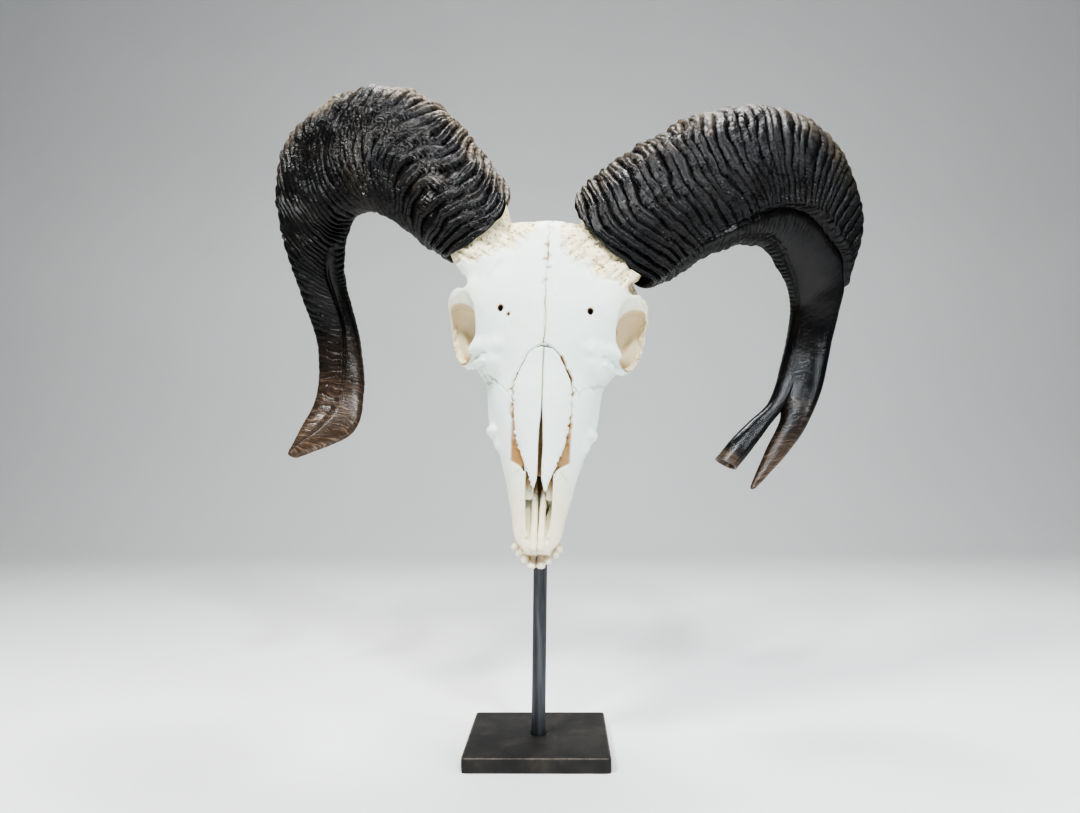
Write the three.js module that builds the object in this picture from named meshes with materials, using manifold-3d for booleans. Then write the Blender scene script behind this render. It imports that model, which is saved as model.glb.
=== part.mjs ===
// A ram's skull with its horn sheaths, hung nose down on a steel rod that stands in a square plate.
//
// Millimetres, +Z up. The origin is the middle of the plate's underside and the forehead faces -Y.
// The skull has axes of its own: x to the ram's left, z from the tip of the nose back to the nape,
// and h, the height above the hard palate, which is -Y on those axes.
import * as THREE from 'three';
import { mergeVertices } from 'three/addons/utils/BufferGeometryUtils.js';
import Module from 'manifold-3d';

// Stand.
const PLATE_SIZE = 100;
const PLATE_THICKNESS = 10;
const PLATE_EDGE = 0.8;
const ROD_RADIUS = 5;
const ROD_LENGTH = 362;
const ROD_LEAN = 1.2;
const SOCKET_DEPTH = 6;

// Where the nose tip is, and how the skull hangs.
const NOSE = [1.9, -41, 144.8];
const TIP_BACK = 17;
const TURN = -1.1;
const LEAN = 3.3;

// Gap that stays open between two pieces, and sizes that several bones share.
const GAP = 0.3;
const NASAL_THICKNESS = 6;
const CHEEK_TEETH = 6;
const TOOTH_PITCH = 12.4;
const FIRST_TOOTH = 53;
const SHEATH_OVERLAP = 11;
const CORE_SHARE = 0.85;

const degrees = THREE.MathUtils.degToRad;

// Skull surface along the nose-to-nape axis:
// z, half width, height of the top, of the widest level and of the underside, and how square it is.
const FACE = [
  [-1, 11, 10, 6, 2, 2.2],
  [6, 16, 14, 8, 1, 2.2],
  [19, 17.2, 24, 10, 2, 2.1],
  [32, 21.3, 34, 14, 2, 2.0],
  [45, 24.3, 43, 18, 2, 2.0],
  [58, 28.6, 51, 22, 1, 2.1],
  [76, 34, 63, 30, 0, 2.2],
  [90, 36.5, 72, 36, 0, 2.3],
  [106, 39, 80.5, 42, 1, 2.4],
  [117, 46, 88, 56, 8, 2.5],
  [130, 50, 96, 70, 36, 2.6],
  [141, 58, 102, 74, 46, 2.7],
  [151, 62, 106, 76, 52, 2.7],
  [160, 56, 109, 80, 56, 2.7],
  [174, 50, 112.5, 84, 56, 2.6],
  [190, 45, 110, 82, 52, 2.6],
  [199, 42, 95, 74, 48, 2.5],
  [210, 38, 78, 62, 44, 2.4],
  [220, 30, 63, 52, 40, 2.2],
];

// Braincase and the base of the skull, with the same columns.
const BRAINCASE = [
  [96, 22, 60, 34, 6, 2.2],
  [126, 22, 76, 44, 16, 2.2],
  [156, 26, 88, 52, 20, 2.2],
  [186, 34, 94, 56, 19, 2.3],
  [208, 36, 76, 46, 18, 2.4],
  [226, 31, 55, 38, 19, 2.3],
  [236, 20, 44, 34, 24, 2.1],
];

// Steps along and sides around these two bodies.
const FACE_MESH = [20, 14];
const BRAINCASE_MESH = [7, 10];

// One half of the lower jaw: z, inner x, outer x, height of the upper edge and of the lower edge.
const JAW = [
  [-2, 0.15, 15, -3, -9],
  [6, 0.15, 15.2, -2, -13],
  [17, 0.15, 12, -3, -19],
  [31, 0.15, 11.5, -5, -23.5],
  [40, 1.5, 13, -7, -24.5],
  [50, 8, 18, -13, -28],
  [62, 13, 23, -15, -34],
  [80, 17, 28, -15, -41],
  [100, 20, 31, -15, -47],
  [120, 25, 36, -14, -53],
  [138, 31, 41, -9, -59],
];

// Side outline of the upright back part of the jaw, as z and h.
const RAMUS = [
  [124, -12], [139, 0], [148, 20], [157, 41], [165, 52], [172, 51], [175, 36], [180, 25],
  [187, 23], [193, 18], [192, 6], [197, -10], [202, -34], [197, -54], [185, -65], [165, -65],
  [142, -61], [124, -52],
];
const RAMUS_THICKNESS = 6;
const RAMUS_INNER_X = 32;
const JAW_SPREAD = 0.2;

// Half outline of the two nose bones, seen from above, as z and x.
const NOSE_OUTLINE = [
  [33, 1.5], [40, 5.5], [51, 11.5], [67, 17.5], [80, 19], [90, 19], [100, 14.5], [110, 7.5], [117, 1],
];

// Rim of the eye socket and the cheek arch behind it, as x, h, z on the left side.
const ORBIT_RIM = [
  [46, 76, 128], [56, 79, 147], [65, 69, 159], [66, 52, 158], [64, 38, 144],
  [56, 39, 125], [51, 51, 115], [46, 66, 118],
];
const CHEEK_ARCH = [
  [42, 46, 108], [52, 42, 118], [62, 38, 136], [65, 37, 154], [62, 36, 174], [53, 35, 190], [36, 36, 198],
];
const CHEEK_CREST = [[30, 32, 66], [34, 34, 80], [35, 40, 100], [42, 47, 113]];

// Horn sheaths: the outer edge (x, z), the inner edge (x, z), the height h of the middle and the
// depth of the section, from the base to the tip.
const RIGHT_HORN = [
  [-32, 230, -72, 181, 86, 62],
  [-53, 258, -95, 198, 87, 66],
  [-78, 288, -115, 216, 84, 66],
  [-115, 313, -135, 229, 76, 63],
  [-160, 322, -154, 238, 58, 58],
  [-198, 312, -165, 236, 38, 50],
  [-220, 286, -171, 228, 17, 42],
  [-221, 251, -172, 215, -5, 34],
  [-209, 209, -167, 200, -27, 27],
  [-193, 168, -157, 169, -42, 22],
  [-189, 126, -151, 129, -50, 17],
  [-197, 96, -156, 95, -50, 12],
  [-204, 76, -196, 73, -50, 5],
];
const LEFT_HORN = [
  [19, 226, 71, 169, 83, 62],
  [31, 243, 88, 180, 82, 66],
  [61, 270, 106, 197, 79, 66],
  [99, 300, 128, 212, 71, 64],
  [146, 325, 146, 227, 53, 60],
  [188, 329, 163, 235, 34, 54],
  [220, 314, 177, 231, 11, 47],
  [240, 280, 187, 222, -10, 38],
  [235, 239, 191, 210, -29, 31],
  [226, 196, 188, 188, -43, 25],
  [217, 155, 180, 151, -50, 20],
  [205, 125, 183, 126, -52, 16],
  [190, 100, 170, 97, -54, 12],
  [162, 68, 158, 69, -54, 5],
];
// The prong that splits off the inner edge of the left sheath, in the same columns.
const PRONG = [
  [201, 167, 181, 158, -47, 13],
  [188, 138, 172, 136, -48, 14],
  [172, 115, 156, 119, -47, 14],
  [158, 96, 143, 104, -45, 13],
  [146, 80, 130, 87, -45, 13],
];

const wasm = await Module();
wasm.setup();

const at = (x, h, z) => new THREE.Vector3(x, -h, z);
const power = (value, exponent) => Math.sign(value) * Math.abs(value) ** exponent;

// A smooth curve through each column of a table whose first column is the place along it.
function track(rows) {
  const places = rows.map((row) => row[0]);
  const values = rows.flatMap((row) => row.slice(1));
  const curve = new THREE.CubicInterpolant(places, values, rows[0].length - 1);
  return (place) => Array.from(curve.evaluate(place));
}

// A closed geometry as a solid, with its faces out.
function solid(geometry) {
  geometry.deleteAttribute('normal');
  geometry.deleteAttribute('uv');
  const merged = mergeVertices(geometry, 1e-3);
  const corners = [];
  for (let i = 0; i < merged.index.count; i += 3) {
    const [a, b, c] = [0, 1, 2].map((k) => merged.index.getX(i + k));
    if (a !== b && b !== c && c !== a) {
      corners.push(a, b, c);
    }
  }
  const point = (index) => new THREE.Vector3().fromBufferAttribute(merged.attributes.position, index);
  let volume = 0;
  for (let i = 0; i < corners.length; i += 3) {
    volume += point(corners[i]).dot(point(corners[i + 1]).cross(point(corners[i + 2])));
  }
  if (volume < 0) corners.reverse();
  const mesh = new wasm.Mesh({
    numProp: 3,
    vertProperties: new Float32Array(merged.attributes.position.array),
    triVerts: new Uint32Array(corners),
  });
  return new wasm.Manifold(mesh);
}

const join = (pieces) => pieces.reduce((whole, piece) => whole.add(piece));

// A cylinder whose points are moved: place(t, angle, reach) gives each one, reach 0 in the caps' middles.
function loft(steps, sides, place) {
  const geometry = new THREE.CylinderGeometry(1, 1, 1, sides, steps);
  const position = geometry.attributes.position;
  const slice = (2 * Math.PI) / sides;
  for (let i = 0; i < position.count; i += 1) {
    const [x, y, z] = [position.getX(i), position.getY(i), position.getZ(i)];
    const t = Math.round((0.5 - y) * steps) / steps;
    const angle = (Math.round(Math.atan2(x, z) / slice) + sides) % sides * slice;
    const point = place(t, angle, Math.round(Math.hypot(x, z)));
    position.setXYZ(i, point.x, point.y, point.z);
  }
  return solid(geometry);
}

// A body along z from a table of half width, top, widest level, underside and squareness.
function bodyAlong(rows, steps, sides) {
  const sections = track(rows);
  const from = rows[0][0];
  const to = rows.at(-1)[0];
  return loft(steps, sides, (t, angle, reach) => {
    const z = from + t * (to - from);
    const [half, top, middle, bottom, square] = sections(z);
    const across = half * reach * power(Math.sin(angle), 2 / square);
    const up = reach * power(Math.cos(angle), 2 / square);
    return at(across, middle + up * (up > 0 ? top - middle : middle - bottom), z);
  });
}

// A round bar through points, as thick as radius(t) says; a ring when closed.
function bar(points, radius, steps, sides, closed = false) {
  const curve = new THREE.CatmullRomCurve3(points, closed);
  const frames = curve.computeFrenetFrames(steps, closed);
  const spot = (t, angle, reach) => {
    const i = Math.round(t * steps);
    const out = frames.normals[i].clone().multiplyScalar(Math.cos(angle));
    out.addScaledVector(frames.binormals[i], Math.sin(angle));
    return curve.getPointAt(t).addScaledVector(out, reach * radius(t));
  };
  if (!closed) return loft(steps, sides, spot);
  const geometry = new THREE.TorusGeometry(2, 1, sides, steps);
  const position = geometry.attributes.position;
  for (let i = 0; i < position.count; i += 1) {
    const along = Math.floor(i % (steps + 1)) % steps;
    const around = Math.floor(i / (steps + 1)) % sides;
    const point = spot(along / steps, (around / sides) * 2 * Math.PI, 1);
    position.setXYZ(i, point.x, point.y, point.z);
  }
  return solid(geometry);
}

// An egg shape with half sizes in x, h and z.
function egg(x, h, z, halfX, halfH, halfZ, detail = 12) {
  const geometry = new THREE.SphereGeometry(1, detail, Math.round(detail * 0.6));
  geometry.scale(halfX, halfH, halfZ);
  geometry.translate(x, -h, z);
  return solid(geometry);
}

// A block pulled out of an (x, z) outline from one height to another; the heights may follow z.
function blockOver(outline, low, high) {
  const shape = new THREE.Shape(outline.map(([x, z]) => new THREE.Vector2(x, z)));
  const geometry = new THREE.ExtrudeGeometry(shape, { depth: 1, bevelEnabled: false, curveSegments: 1 });
  const position = geometry.attributes.position;
  for (let i = 0; i < position.count; i += 1) {
    const [x, z, up] = [position.getX(i), position.getY(i), position.getZ(i)];
    const point = at(x, up > 0.5 ? high(z) : low(z), z);
    position.setXYZ(i, point.x, point.y, point.z);
  }
  return solid(geometry);
}

// A block pulled out of a (z, h) outline from one x to another.
function blockAcross(outline, fromX, toX) {
  const shape = new THREE.Shape(outline.map(([z, h]) => new THREE.Vector2(z, h)));
  const geometry = new THREE.ExtrudeGeometry(shape, { depth: 1, bevelEnabled: false, curveSegments: 1 });
  const position = geometry.attributes.position;
  for (let i = 0; i < position.count; i += 1) {
    const [z, h, side] = [position.getX(i), position.getY(i), position.getZ(i)];
    position.setXYZ(i, side > 0.5 ? toX : fromX, -h, z);
  }
  return solid(geometry);
}

// The same piece on both sides of the skull.
function bothSides(make) {
  return make(1).add(make(-1));
}

// Horn section frames from a table of outer edge, inner edge, height and depth.
function hornPath(rows) {
  const centres = new THREE.CatmullRomCurve3(
    rows.map(([ox, oz, ix, iz, h]) => at((ox + ix) / 2, h, (oz + iz) / 2)),
  );
  const edges = track(rows.map((row, i) => [i / (rows.length - 1), ...row]));
  return (t) => {
    const [ox, oz, ix, iz, , depth] = edges(t);
    const across = at(ox - ix, (oz - iz) * Math.tan(degrees(TIP_BACK)), oz - iz);
    const width = across.length();
    across.normalize();
    const back = new THREE.Vector3().crossVectors(centres.getTangent(t), across).normalize();
    if (back.y < 0) back.negate();
    return { centre: centres.getPoint(t), across, back, width, depth };
  };
}

// A point of a horn's section: flat in front, rounder behind, with a blunt keel at the inner edge.
function hornPoint(frame, angle, share) {
  const out = Math.sin(angle);
  const back = Math.cos(angle);
  const keel = 1 - 0.22 * Math.max(0, -out) ** 2 * Math.abs(back);
  const flat = back < 0 ? 0.86 : 1;
  return frame.centre.clone()
    .addScaledVector(frame.across, share * 0.5 * frame.width * power(out, 0.86))
    .addScaledVector(frame.back, share * 0.5 * frame.depth * power(back, 0.8) * keel * flat);
}

function sheath(rows, steps, sides, from = 0) {
  const path = hornPath(rows);
  return loft(steps, sides, (t, angle, reach) => hornPoint(path(from + t * (1 - from)), angle, reach));
}

// The bony core that carries a sheath, from inside the forehead into the sheath.
function hornCore(rows, share, reachIn) {
  const base = hornPath(rows)(0);
  const next = hornPath(rows)(0.05);
  const side = Math.sign(base.centre.x);
  const root = at(side * 32, 82, 172);
  const inward = next.centre.clone().sub(base.centre).normalize().multiplyScalar(reachIn);
  return loft(4, 12, (t, angle, reach) => {
    const centre = t < 0.75
      ? root.clone().lerp(base.centre, t / 0.75)
      : base.centre.clone().addScaledVector(inward, (t - 0.75) / 0.25);
    const swell = t < 0.75 ? 0.9 + 0.133 * t : 1 - 0.1 * (t - 0.75) / 0.25;
    return hornPoint({ ...base, centre }, angle, reach * share * swell);
  });
}

// Cheek teeth of one side, standing in the bone at height root and ending at height crown.
function cheekTeeth(side, centreX, root, crown) {
  const teeth = [];
  for (let i = 0; i < CHEEK_TEETH; i += 1) {
    const z = FIRST_TOOTH + i * TOOTH_PITCH;
    const width = 9 + i * 0.9;
    teeth.push(loft(1, 6, (t, angle, reach) => {
      const grow = 1 - 0.1 * t;
      const x = side * centreX(z) + grow * reach * 0.5 * width * power(Math.sin(angle), 0.7);
      const bite = t === 1 ? 1.2 * Math.cos(2 * angle) * Math.sign(crown - root) * reach : 0;
      const along = grow * reach * 0.47 * TOOTH_PITCH * power(Math.cos(angle), 0.6);
      return at(x, root + t * (crown - root) + bite, z + along);
    }));
  }
  return join(teeth);
}

// Skull without its lower jaw, before it is parted.
function wholeSkull() {
  const body = bodyAlong(FACE, ...FACE_MESH).add(bodyAlong(BRAINCASE, ...BRAINCASE_MESH));
  const rims = bothSides((side) => bar(
    ORBIT_RIM.map(([x, h, z]) => at(side * x, h, z)), () => 4.6, 13, 5, true,
  ));
  const arches = bothSides((side) => bar(
    CHEEK_ARCH.map(([x, h, z]) => at(side * x, h, z)), (t) => 4.4 + 2 * Math.sin(Math.PI * t), 8, 6,
  ));
  const tears = bothSides((side) => egg(side * 37, 57, 113, 14, 20, 18, 9));
  const crests = bothSides((side) => bar(
    CHEEK_CREST.map(([x, h, z]) => at(side * x, h, z)), (t) => 4 + 3 * Math.sin(Math.PI * Math.sqrt(t)), 6, 6,
  ));
  const bullae = bothSides((side) => egg(side * 17, 20, 206, 7, 9, 10, 7));
  const ears = bothSides((side) => egg(side * 33, 36, 205, 8, 11, 11, 7));
  const condyles = bothSides((side) => egg(side * 11, 29, 236, 7, 9, 6.5, 7));
  const spurs = bothSides((side) => bar(
    [at(side * 21, 34, 222), at(side * 25, 12, 227), at(side * 24, -4, 225)], (t) => 6 - 3.6 * t, 4, 6,
  ));
  const wings = bothSides((side) => bar(
    [at(side * 13, 26, 166), at(side * 13, 11, 150), at(side * 13, 5, 132), at(side * 16, 6, 112)],
    () => 3, 5, 6,
  ));
  const nape = bar(
    [at(-31, 44, 214), at(-20, 57, 218), at(0, 61, 220), at(20, 57, 218), at(31, 44, 214)], () => 4, 8, 6,
  );
  const cores = [RIGHT_HORN, LEFT_HORN].map((rows) => hornCore(rows, CORE_SHARE, SHEATH_OVERLAP));
  const teeth = bothSides((side) => cheekTeeth(side, (z) => 19 + 0.12 * (z - 50), 8, -7));
  const cups = bothSides((side) => egg(side * 55, 57, 140, 19, 25, 25, 9));
  const sockets = bothSides((side) => egg(side * 62, 61, 137, 19.5, 20, 20, 12));
  const temples = bothSides((side) => egg(side * 54, 52, 184, 18, 22, 21, 10));
  return join([body, tears, crests, cups, cores[0], cores[1]])
    .subtract(temples)
    .subtract(sockets)
    .add(join([rims, arches, bullae, ears, condyles, spurs, wings, nape, teeth]));
}

// Openings of the skull: nose, palate slits, nerve holes and the hole for the spinal cord.
function openings() {
  const nose = loft(5, 8, (t, angle, reach) => {
    const z = -6 + t * 80;
    const half = 6.5 + 11 * Math.sin(Math.min(1, t * 1.35) * Math.PI * 0.62);
    const height = 6 + 46 * t;
    return at(reach * half * Math.sin(angle), 9 + height / 2 + reach * (height / 2 + 3) * Math.cos(angle), z);
  });
  const edge = [[9, 10], [14, 36], [13.5, 60], [6, 68]];
  const mirrored = edge.map(([x, z]) => [-x, z]).reverse();
  const notch = blockOver([...edge, ...mirrored], () => 14, () => 90);
  const slits = bothSides((side) => egg(side * 6.2, 6, 25, 3, 12, 13, 7));
  const palate = loft(4, 6, (t, angle, reach) => at(
    reach * (9 + 4 * t) * Math.sin(angle), -1 + reach * 5 * Math.cos(angle), 34 + t * 84,
  ));
  const brow = bothSides((side) => egg(side * 28.5, 97, 133, 1.8, 8, 2.6, 6));
  const cheek = bothSides((side) => egg(side * 28, 24, 60, 6, 2.4, 4, 6));
  const nerve = egg(0, 38, 238, 8, 8, 20, 10);
  return join([nose, notch, slits, palate, brow, cheek, nerve]);
}

const topOfFace = track(FACE);
const heightOf = (z) => topOfFace(z)[1];

// Outline of both nose bones together, grown by a gap, and the block that holds them.
function noseBones(grow) {
  const left = NOSE_OUTLINE.map(([z, x]) => [-x - grow, z]);
  const right = NOSE_OUTLINE.map(([z, x]) => [x + grow, z]).reverse();
  left[0][1] -= grow;
  right.at(-1)[1] -= grow;
  left.at(-1)[1] += grow;
  right[0][1] += grow;
  return blockOver(
    [...left, ...right].reverse(),
    (z) => heightOf(z) - NASAL_THICKNESS - grow,
    (z) => heightOf(z) + 12,
  );
}

// Front of the skull that the two incisive bones make, seen from the side.
const incisiveBlock = (grow) => blockAcross(
  [[-12, -12], [24 + grow, -12], [27 + grow, 6], [47 + grow, 40], [47 + grow, 70], [-12, 70]], -40, 40,
);

// Back of the skull behind the upper jaw, with the seam that runs round the nose bones.
function backBlock(grow) {
  const seam = [[-80, 114], [-46, 108], [-31, 97], [-23, 90], [-12, 106], [0, 118]];
  const mirrored = seam.slice(0, -1).map(([x, z]) => [-x, z]).reverse();
  const outline = [...seam, ...mirrored].map(([x, z]) => [x, z - grow]);
  const back = blockOver([...outline, [80, 300], [-80, 300]], () => -40, () => 180);
  const bed = [[80, -40], [124 - grow, -40], [124 - grow, 26 - grow], [80, 26 - grow]];
  const toothBed = blockAcross(bed, -90, 90);
  return back.subtract(toothBed);
}

// Everything to the left of x = fromX, and the two halves of a piece with a gap between them.
function leftHalf(fromX) {
  return blockAcross([[-60, -120], [340, -120], [340, 200], [-60, 200]], fromX, 120);
}

const leftOf = (piece) => piece.intersect(leftHalf(GAP / 2));
const rightOf = (piece) => piece.subtract(leftHalf(-GAP / 2));

// One half of the lower jaw with its teeth.
function jawHalf(side) {
  const edge = track(JAW);
  const from = JAW[0][0];
  const to = JAW.at(-1)[0];
  const beam = loft(12, 9, (t, angle, reach) => {
    const z = from + t * (to - from);
    const [inner, outer, top, bottom] = edge(z);
    const flat = Math.max(inner, 0.15);
    const x = (flat + outer) / 2 + reach * ((outer - flat) / 2) * power(Math.sin(angle), 0.7);
    return at(side * x, (top + bottom) / 2 + reach * ((top - bottom) / 2) * power(Math.cos(angle), 0.75), z);
  });
  const shape = new THREE.Shape();
  shape.setFromPoints(new THREE.SplineCurve(
    [...RAMUS, RAMUS[0]].map(([z, h]) => new THREE.Vector2(z, h)),
  ).getPoints(17).slice(0, -1));
  const plate = new THREE.ExtrudeGeometry(shape, {
    depth: RAMUS_THICKNESS - 3, bevelThickness: 1.5, bevelSize: 1.5, bevelOffset: -1.5, bevelSegments: 1,
  });
  const position = plate.attributes.position;
  for (let i = 0; i < position.count; i += 1) {
    const [z, h, x] = [position.getX(i), position.getY(i), position.getZ(i)];
    position.setXYZ(i, side * (RAMUS_INNER_X + x + JAW_SPREAD * (z - 124)), -h, z);
  }
  const condyle = bar([at(side * 40, 19, 187), at(side * 53, 20, 188)], () => 4, 2, 7);
  const cheek = cheekTeeth(side, (z) => (edge(z)[0] + edge(z)[1]) / 2, -22, -10.5);
  const front = [0, 1, 2, 3].map((i) => {
    const x = 2.3 + i * 4.0;
    const drop = 1.6 * i * i * 0.35;
    return loft(2, 6, (t, angle, reach) => {
      const broad = (1.5 + 1.0 * Math.sin(Math.min(1, t * 1.15) * Math.PI * 0.6)) * reach;
      const thick = (2.4 - 1.6 * t) * reach;
      const along = 2 - t * (13 - drop);
      return at(
        side * (x + i * 0.15 * t * 4 + broad * Math.sin(angle)),
        -7 + 3.5 * t + thick * Math.cos(angle),
        along + drop * 0.6,
      );
    });
  });
  const half = join([beam, solid(plate), condyle, cheek, ...front]);
  return side > 0 ? leftOf(half) : rightOf(half);
}

// Rod and plate of the stand. The rod leans a little to the ram's left.
function rodSolid(grow) {
  const geometry = new THREE.CylinderGeometry(
    ROD_RADIUS + grow, ROD_RADIUS + grow, ROD_LENGTH + 2 * grow, 24,
  );
  geometry.rotateX(Math.PI / 2);
  geometry.translate(0, 0, ROD_LENGTH / 2);
  geometry.rotateY(degrees(ROD_LEAN));
  geometry.translate(0, 0, PLATE_THICKNESS - SOCKET_DEPTH + GAP);
  return solid(geometry);
}

function plateSolid() {
  const inner = PLATE_SIZE / 2 - PLATE_EDGE;
  const square = new THREE.Shape([[-1, -1], [1, -1], [1, 1], [-1, 1]].map(
    ([x, y]) => new THREE.Vector2(x * inner, y * inner),
  ));
  const geometry = new THREE.ExtrudeGeometry(square, {
    depth: PLATE_THICKNESS - 2 * PLATE_EDGE,
    bevelThickness: PLATE_EDGE,
    bevelSize: PLATE_EDGE,
    bevelSegments: 1,
  });
  geometry.translate(0, 0, PLATE_EDGE);
  return solid(geometry).subtract(rodSolid(GAP));
}

// Scene graph.
const model = new THREE.Group();
const skull = new THREE.Group();
skull.position.set(...NOSE);
skull.rotation.set(degrees(-TIP_BACK), degrees(LEAN), degrees(TURN), 'YZX');
model.add(skull);
skull.updateMatrixWorld(true);

function addPart(name, manifold, parent, colour, roughness, metalness = 0) {
  const { numProp, vertProperties, triVerts } = manifold.getMesh();
  const geometry = new THREE.BufferGeometry();
  const buffer = new THREE.InterleavedBuffer(vertProperties, numProp);
  const corners = new THREE.InterleavedBufferAttribute(buffer, 3, 0);
  const positions = new Float32Array(corners.count * 3);
  for (let i = 0; i < corners.count; i += 1) {
    positions.set([corners.getX(i), corners.getY(i), corners.getZ(i)], 3 * i);
  }
  geometry.setAttribute('position', new THREE.BufferAttribute(positions, 3));
  geometry.setIndex(Array.from(triVerts));
  geometry.computeVertexNormals();
  const material = new THREE.MeshStandardMaterial({ color: colour, roughness, metalness });
  const mesh = new THREE.Mesh(geometry, material);
  mesh.name = name;
  parent.add(mesh);
}

// The rod's hole, brought into the skull's own axes.
const rodHole = rodSolid(GAP).transform(skull.matrixWorld.clone().invert().elements);

const bone = wholeSkull().subtract(openings()).subtract(rodHole);
// The nose bones keep their full thickness over the opening under them.
const noses = bodyAlong(FACE, ...FACE_MESH).intersect(noseBones(0));
const withoutNoses = bone.subtract(noseBones(GAP));
const incisives = withoutNoses.intersect(incisiveBlock(0));
const behind = withoutNoses.subtract(incisiveBlock(GAP));
const cranium = behind.intersect(backBlock(0));
const upperJaw = behind.subtract(backBlock(GAP));

const CREAM = 0xe9ebe0;
const IVORY = 0xe2dccb;
const HORN = 0x1b1918;
const STEEL = 0x242322;

addPart('cranium', cranium, skull, CREAM, 0.62);
addPart('upper_jaw', upperJaw, skull, CREAM, 0.62);
addPart('nasal_left', leftOf(noses), skull, CREAM, 0.6);
addPart('nasal_right', rightOf(noses), skull, CREAM, 0.6);
addPart('incisive_left', leftOf(incisives), skull, CREAM, 0.6);
addPart('incisive_right', rightOf(incisives), skull, CREAM, 0.6);
addPart('mandible_left', jawHalf(1).subtract(rodHole), skull, IVORY, 0.6);
addPart('mandible_right', jawHalf(-1).subtract(rodHole), skull, IVORY, 0.6);

// What a sheath is cut by: its own core and the forehead and braincase beside it, all a gap larger.
const grown = (rows) => rows.map(([z, half, top, middle, bottom, square]) => (
  [z, half + 2 * GAP, top + 2 * GAP, middle, bottom - 2 * GAP, square]
));
const pocket = (rows) => join([
  hornCore(rows, CORE_SHARE * 1.012, SHEATH_OVERLAP + GAP),
  bodyAlong(grown(FACE), ...FACE_MESH),
  bodyAlong(grown(BRAINCASE), ...BRAINCASE_MESH),
]);
const leftSheath = sheath(LEFT_HORN, 38, 14).add(sheath(PRONG, 6, 7)).subtract(pocket(LEFT_HORN));
const rightSheath = sheath(RIGHT_HORN, 36, 14).subtract(pocket(RIGHT_HORN));
addPart('horn_left', leftSheath, skull, HORN, 0.35);
addPart('horn_right', rightSheath, skull, HORN, 0.35);
addPart('stand_rod', rodSolid(0), model, STEEL, 0.4, 0.9);
addPart('stand_base', plateSolid(), model, STEEL, 0.6, 0.9);

export default model;
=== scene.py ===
# %% [markdown]
# A ram's skull with its horns, hung nose down on a steel rod.
#
# The lesson builds bone the way a sculptor thinks of it: as a field of distances that soft shapes are
# added to and cut from, and that is skinned once it is right. Horn grows in rings along a bent axis,
# so it is swept along that axis instead, and its rings are pushed out of the swept surface.

# %% Frame
import math

import bpy
import numpy as np
from mathutils import Euler, Matrix, Vector


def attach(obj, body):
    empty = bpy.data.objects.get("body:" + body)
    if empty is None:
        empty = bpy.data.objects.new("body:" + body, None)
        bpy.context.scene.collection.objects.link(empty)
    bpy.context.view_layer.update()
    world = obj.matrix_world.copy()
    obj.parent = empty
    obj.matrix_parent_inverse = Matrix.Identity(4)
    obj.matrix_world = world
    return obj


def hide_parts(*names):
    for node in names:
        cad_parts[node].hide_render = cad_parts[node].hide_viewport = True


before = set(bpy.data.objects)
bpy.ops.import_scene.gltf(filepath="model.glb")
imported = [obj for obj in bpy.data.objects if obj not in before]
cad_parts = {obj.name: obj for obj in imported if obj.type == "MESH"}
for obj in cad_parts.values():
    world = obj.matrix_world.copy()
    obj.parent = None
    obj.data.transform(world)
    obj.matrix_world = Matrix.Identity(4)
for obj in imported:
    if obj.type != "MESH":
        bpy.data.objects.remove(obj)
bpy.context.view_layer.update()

print("solids loaded:", sorted(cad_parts))

# %% [markdown]
# A skull has axes of its own. Across it runs x, up from the palate runs h and from the nose to the nape
# runs z, all in millimetres. One rotation and one shift hang it in the room, nose down and tipped back.
# Working on the skull's own axes keeps its two halves easy to write.

# %% Skull axes
NOSE = np.array([1.9, -41.0, 144.8])
TIP_BACK, TURN, LEAN = np.radians([17.0, -1.1, 3.3])


def turn_about(axis, angle):
    c, s = math.cos(angle), math.sin(angle)
    i, j = [(1, 2), (2, 0), (0, 1)][axis]
    matrix = np.eye(3)
    matrix[i, i] = matrix[j, j] = c
    matrix[i, j], matrix[j, i] = -s, s
    return matrix


HANG = turn_about(1, LEAN) @ turn_about(2, TURN) @ turn_about(0, -TIP_BACK) @ np.diag([1.0, -1.0, 1.0])


def to_room(points):
    """Points on the skull's axes, in millimetres, as points of the room in metres."""
    return (np.asarray(points, float) @ HANG.T + NOSE) / 1000.0


print("tip of the nose at", np.round(to_room([0, 0, 0]), 4))

# %% [markdown]
# Two tools serve the whole lesson. A track is a smooth curve through a small table of sizes. Soft noise
# is a random number at each corner of a lattice, blended between the corners; added up at a few sizes it
# gives the unevenness that grown things have. Both are seeded, so each run gives the same skull.

# %% Tracks and noise
def track(rows):
    rows = np.asarray(rows, float)
    place, value = rows[:, 0], rows[:, 1:]
    slope = np.gradient(value, place, axis=0)

    def at(where):
        where = np.asarray(where, float)
        i = np.clip(np.searchsorted(place, where) - 1, 0, len(place) - 2)
        step = (place[i + 1] - place[i])[..., None]
        t = np.clip((where - place[i])[..., None] / step, 0, 1)
        rise = value[i + 1] - value[i]
        return (value[i] + t * step * slope[i]
                + t * t * (3 * rise - step * (2 * slope[i] + slope[i + 1]))
                + t * t * t * (step * (slope[i] + slope[i + 1]) - 2 * rise))
    return at


LATTICE = np.random.default_rng(7).uniform(-1, 1, (32, 32, 32)).astype(np.float32)


def soft_noise(points, size, seed=0):
    q = np.asarray(points, np.float32) / size + 7.31 * seed
    cell = np.floor(q).astype(int)
    f = (q - cell).astype(np.float32)
    f = f * f * (3 - 2 * f)
    total = 0
    for corner in range(8):
        bits = [(corner >> k) & 1 for k in range(3)]
        weight = 1
        for k in range(3):
            weight = weight * (f[..., k] if bits[k] else 1 - f[..., k])
        index = [(cell[..., k] + bits[k]) % 32 for k in range(3)]
        total = total + weight * LATTICE[index[0], index[1], index[2]]
    return total


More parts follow.
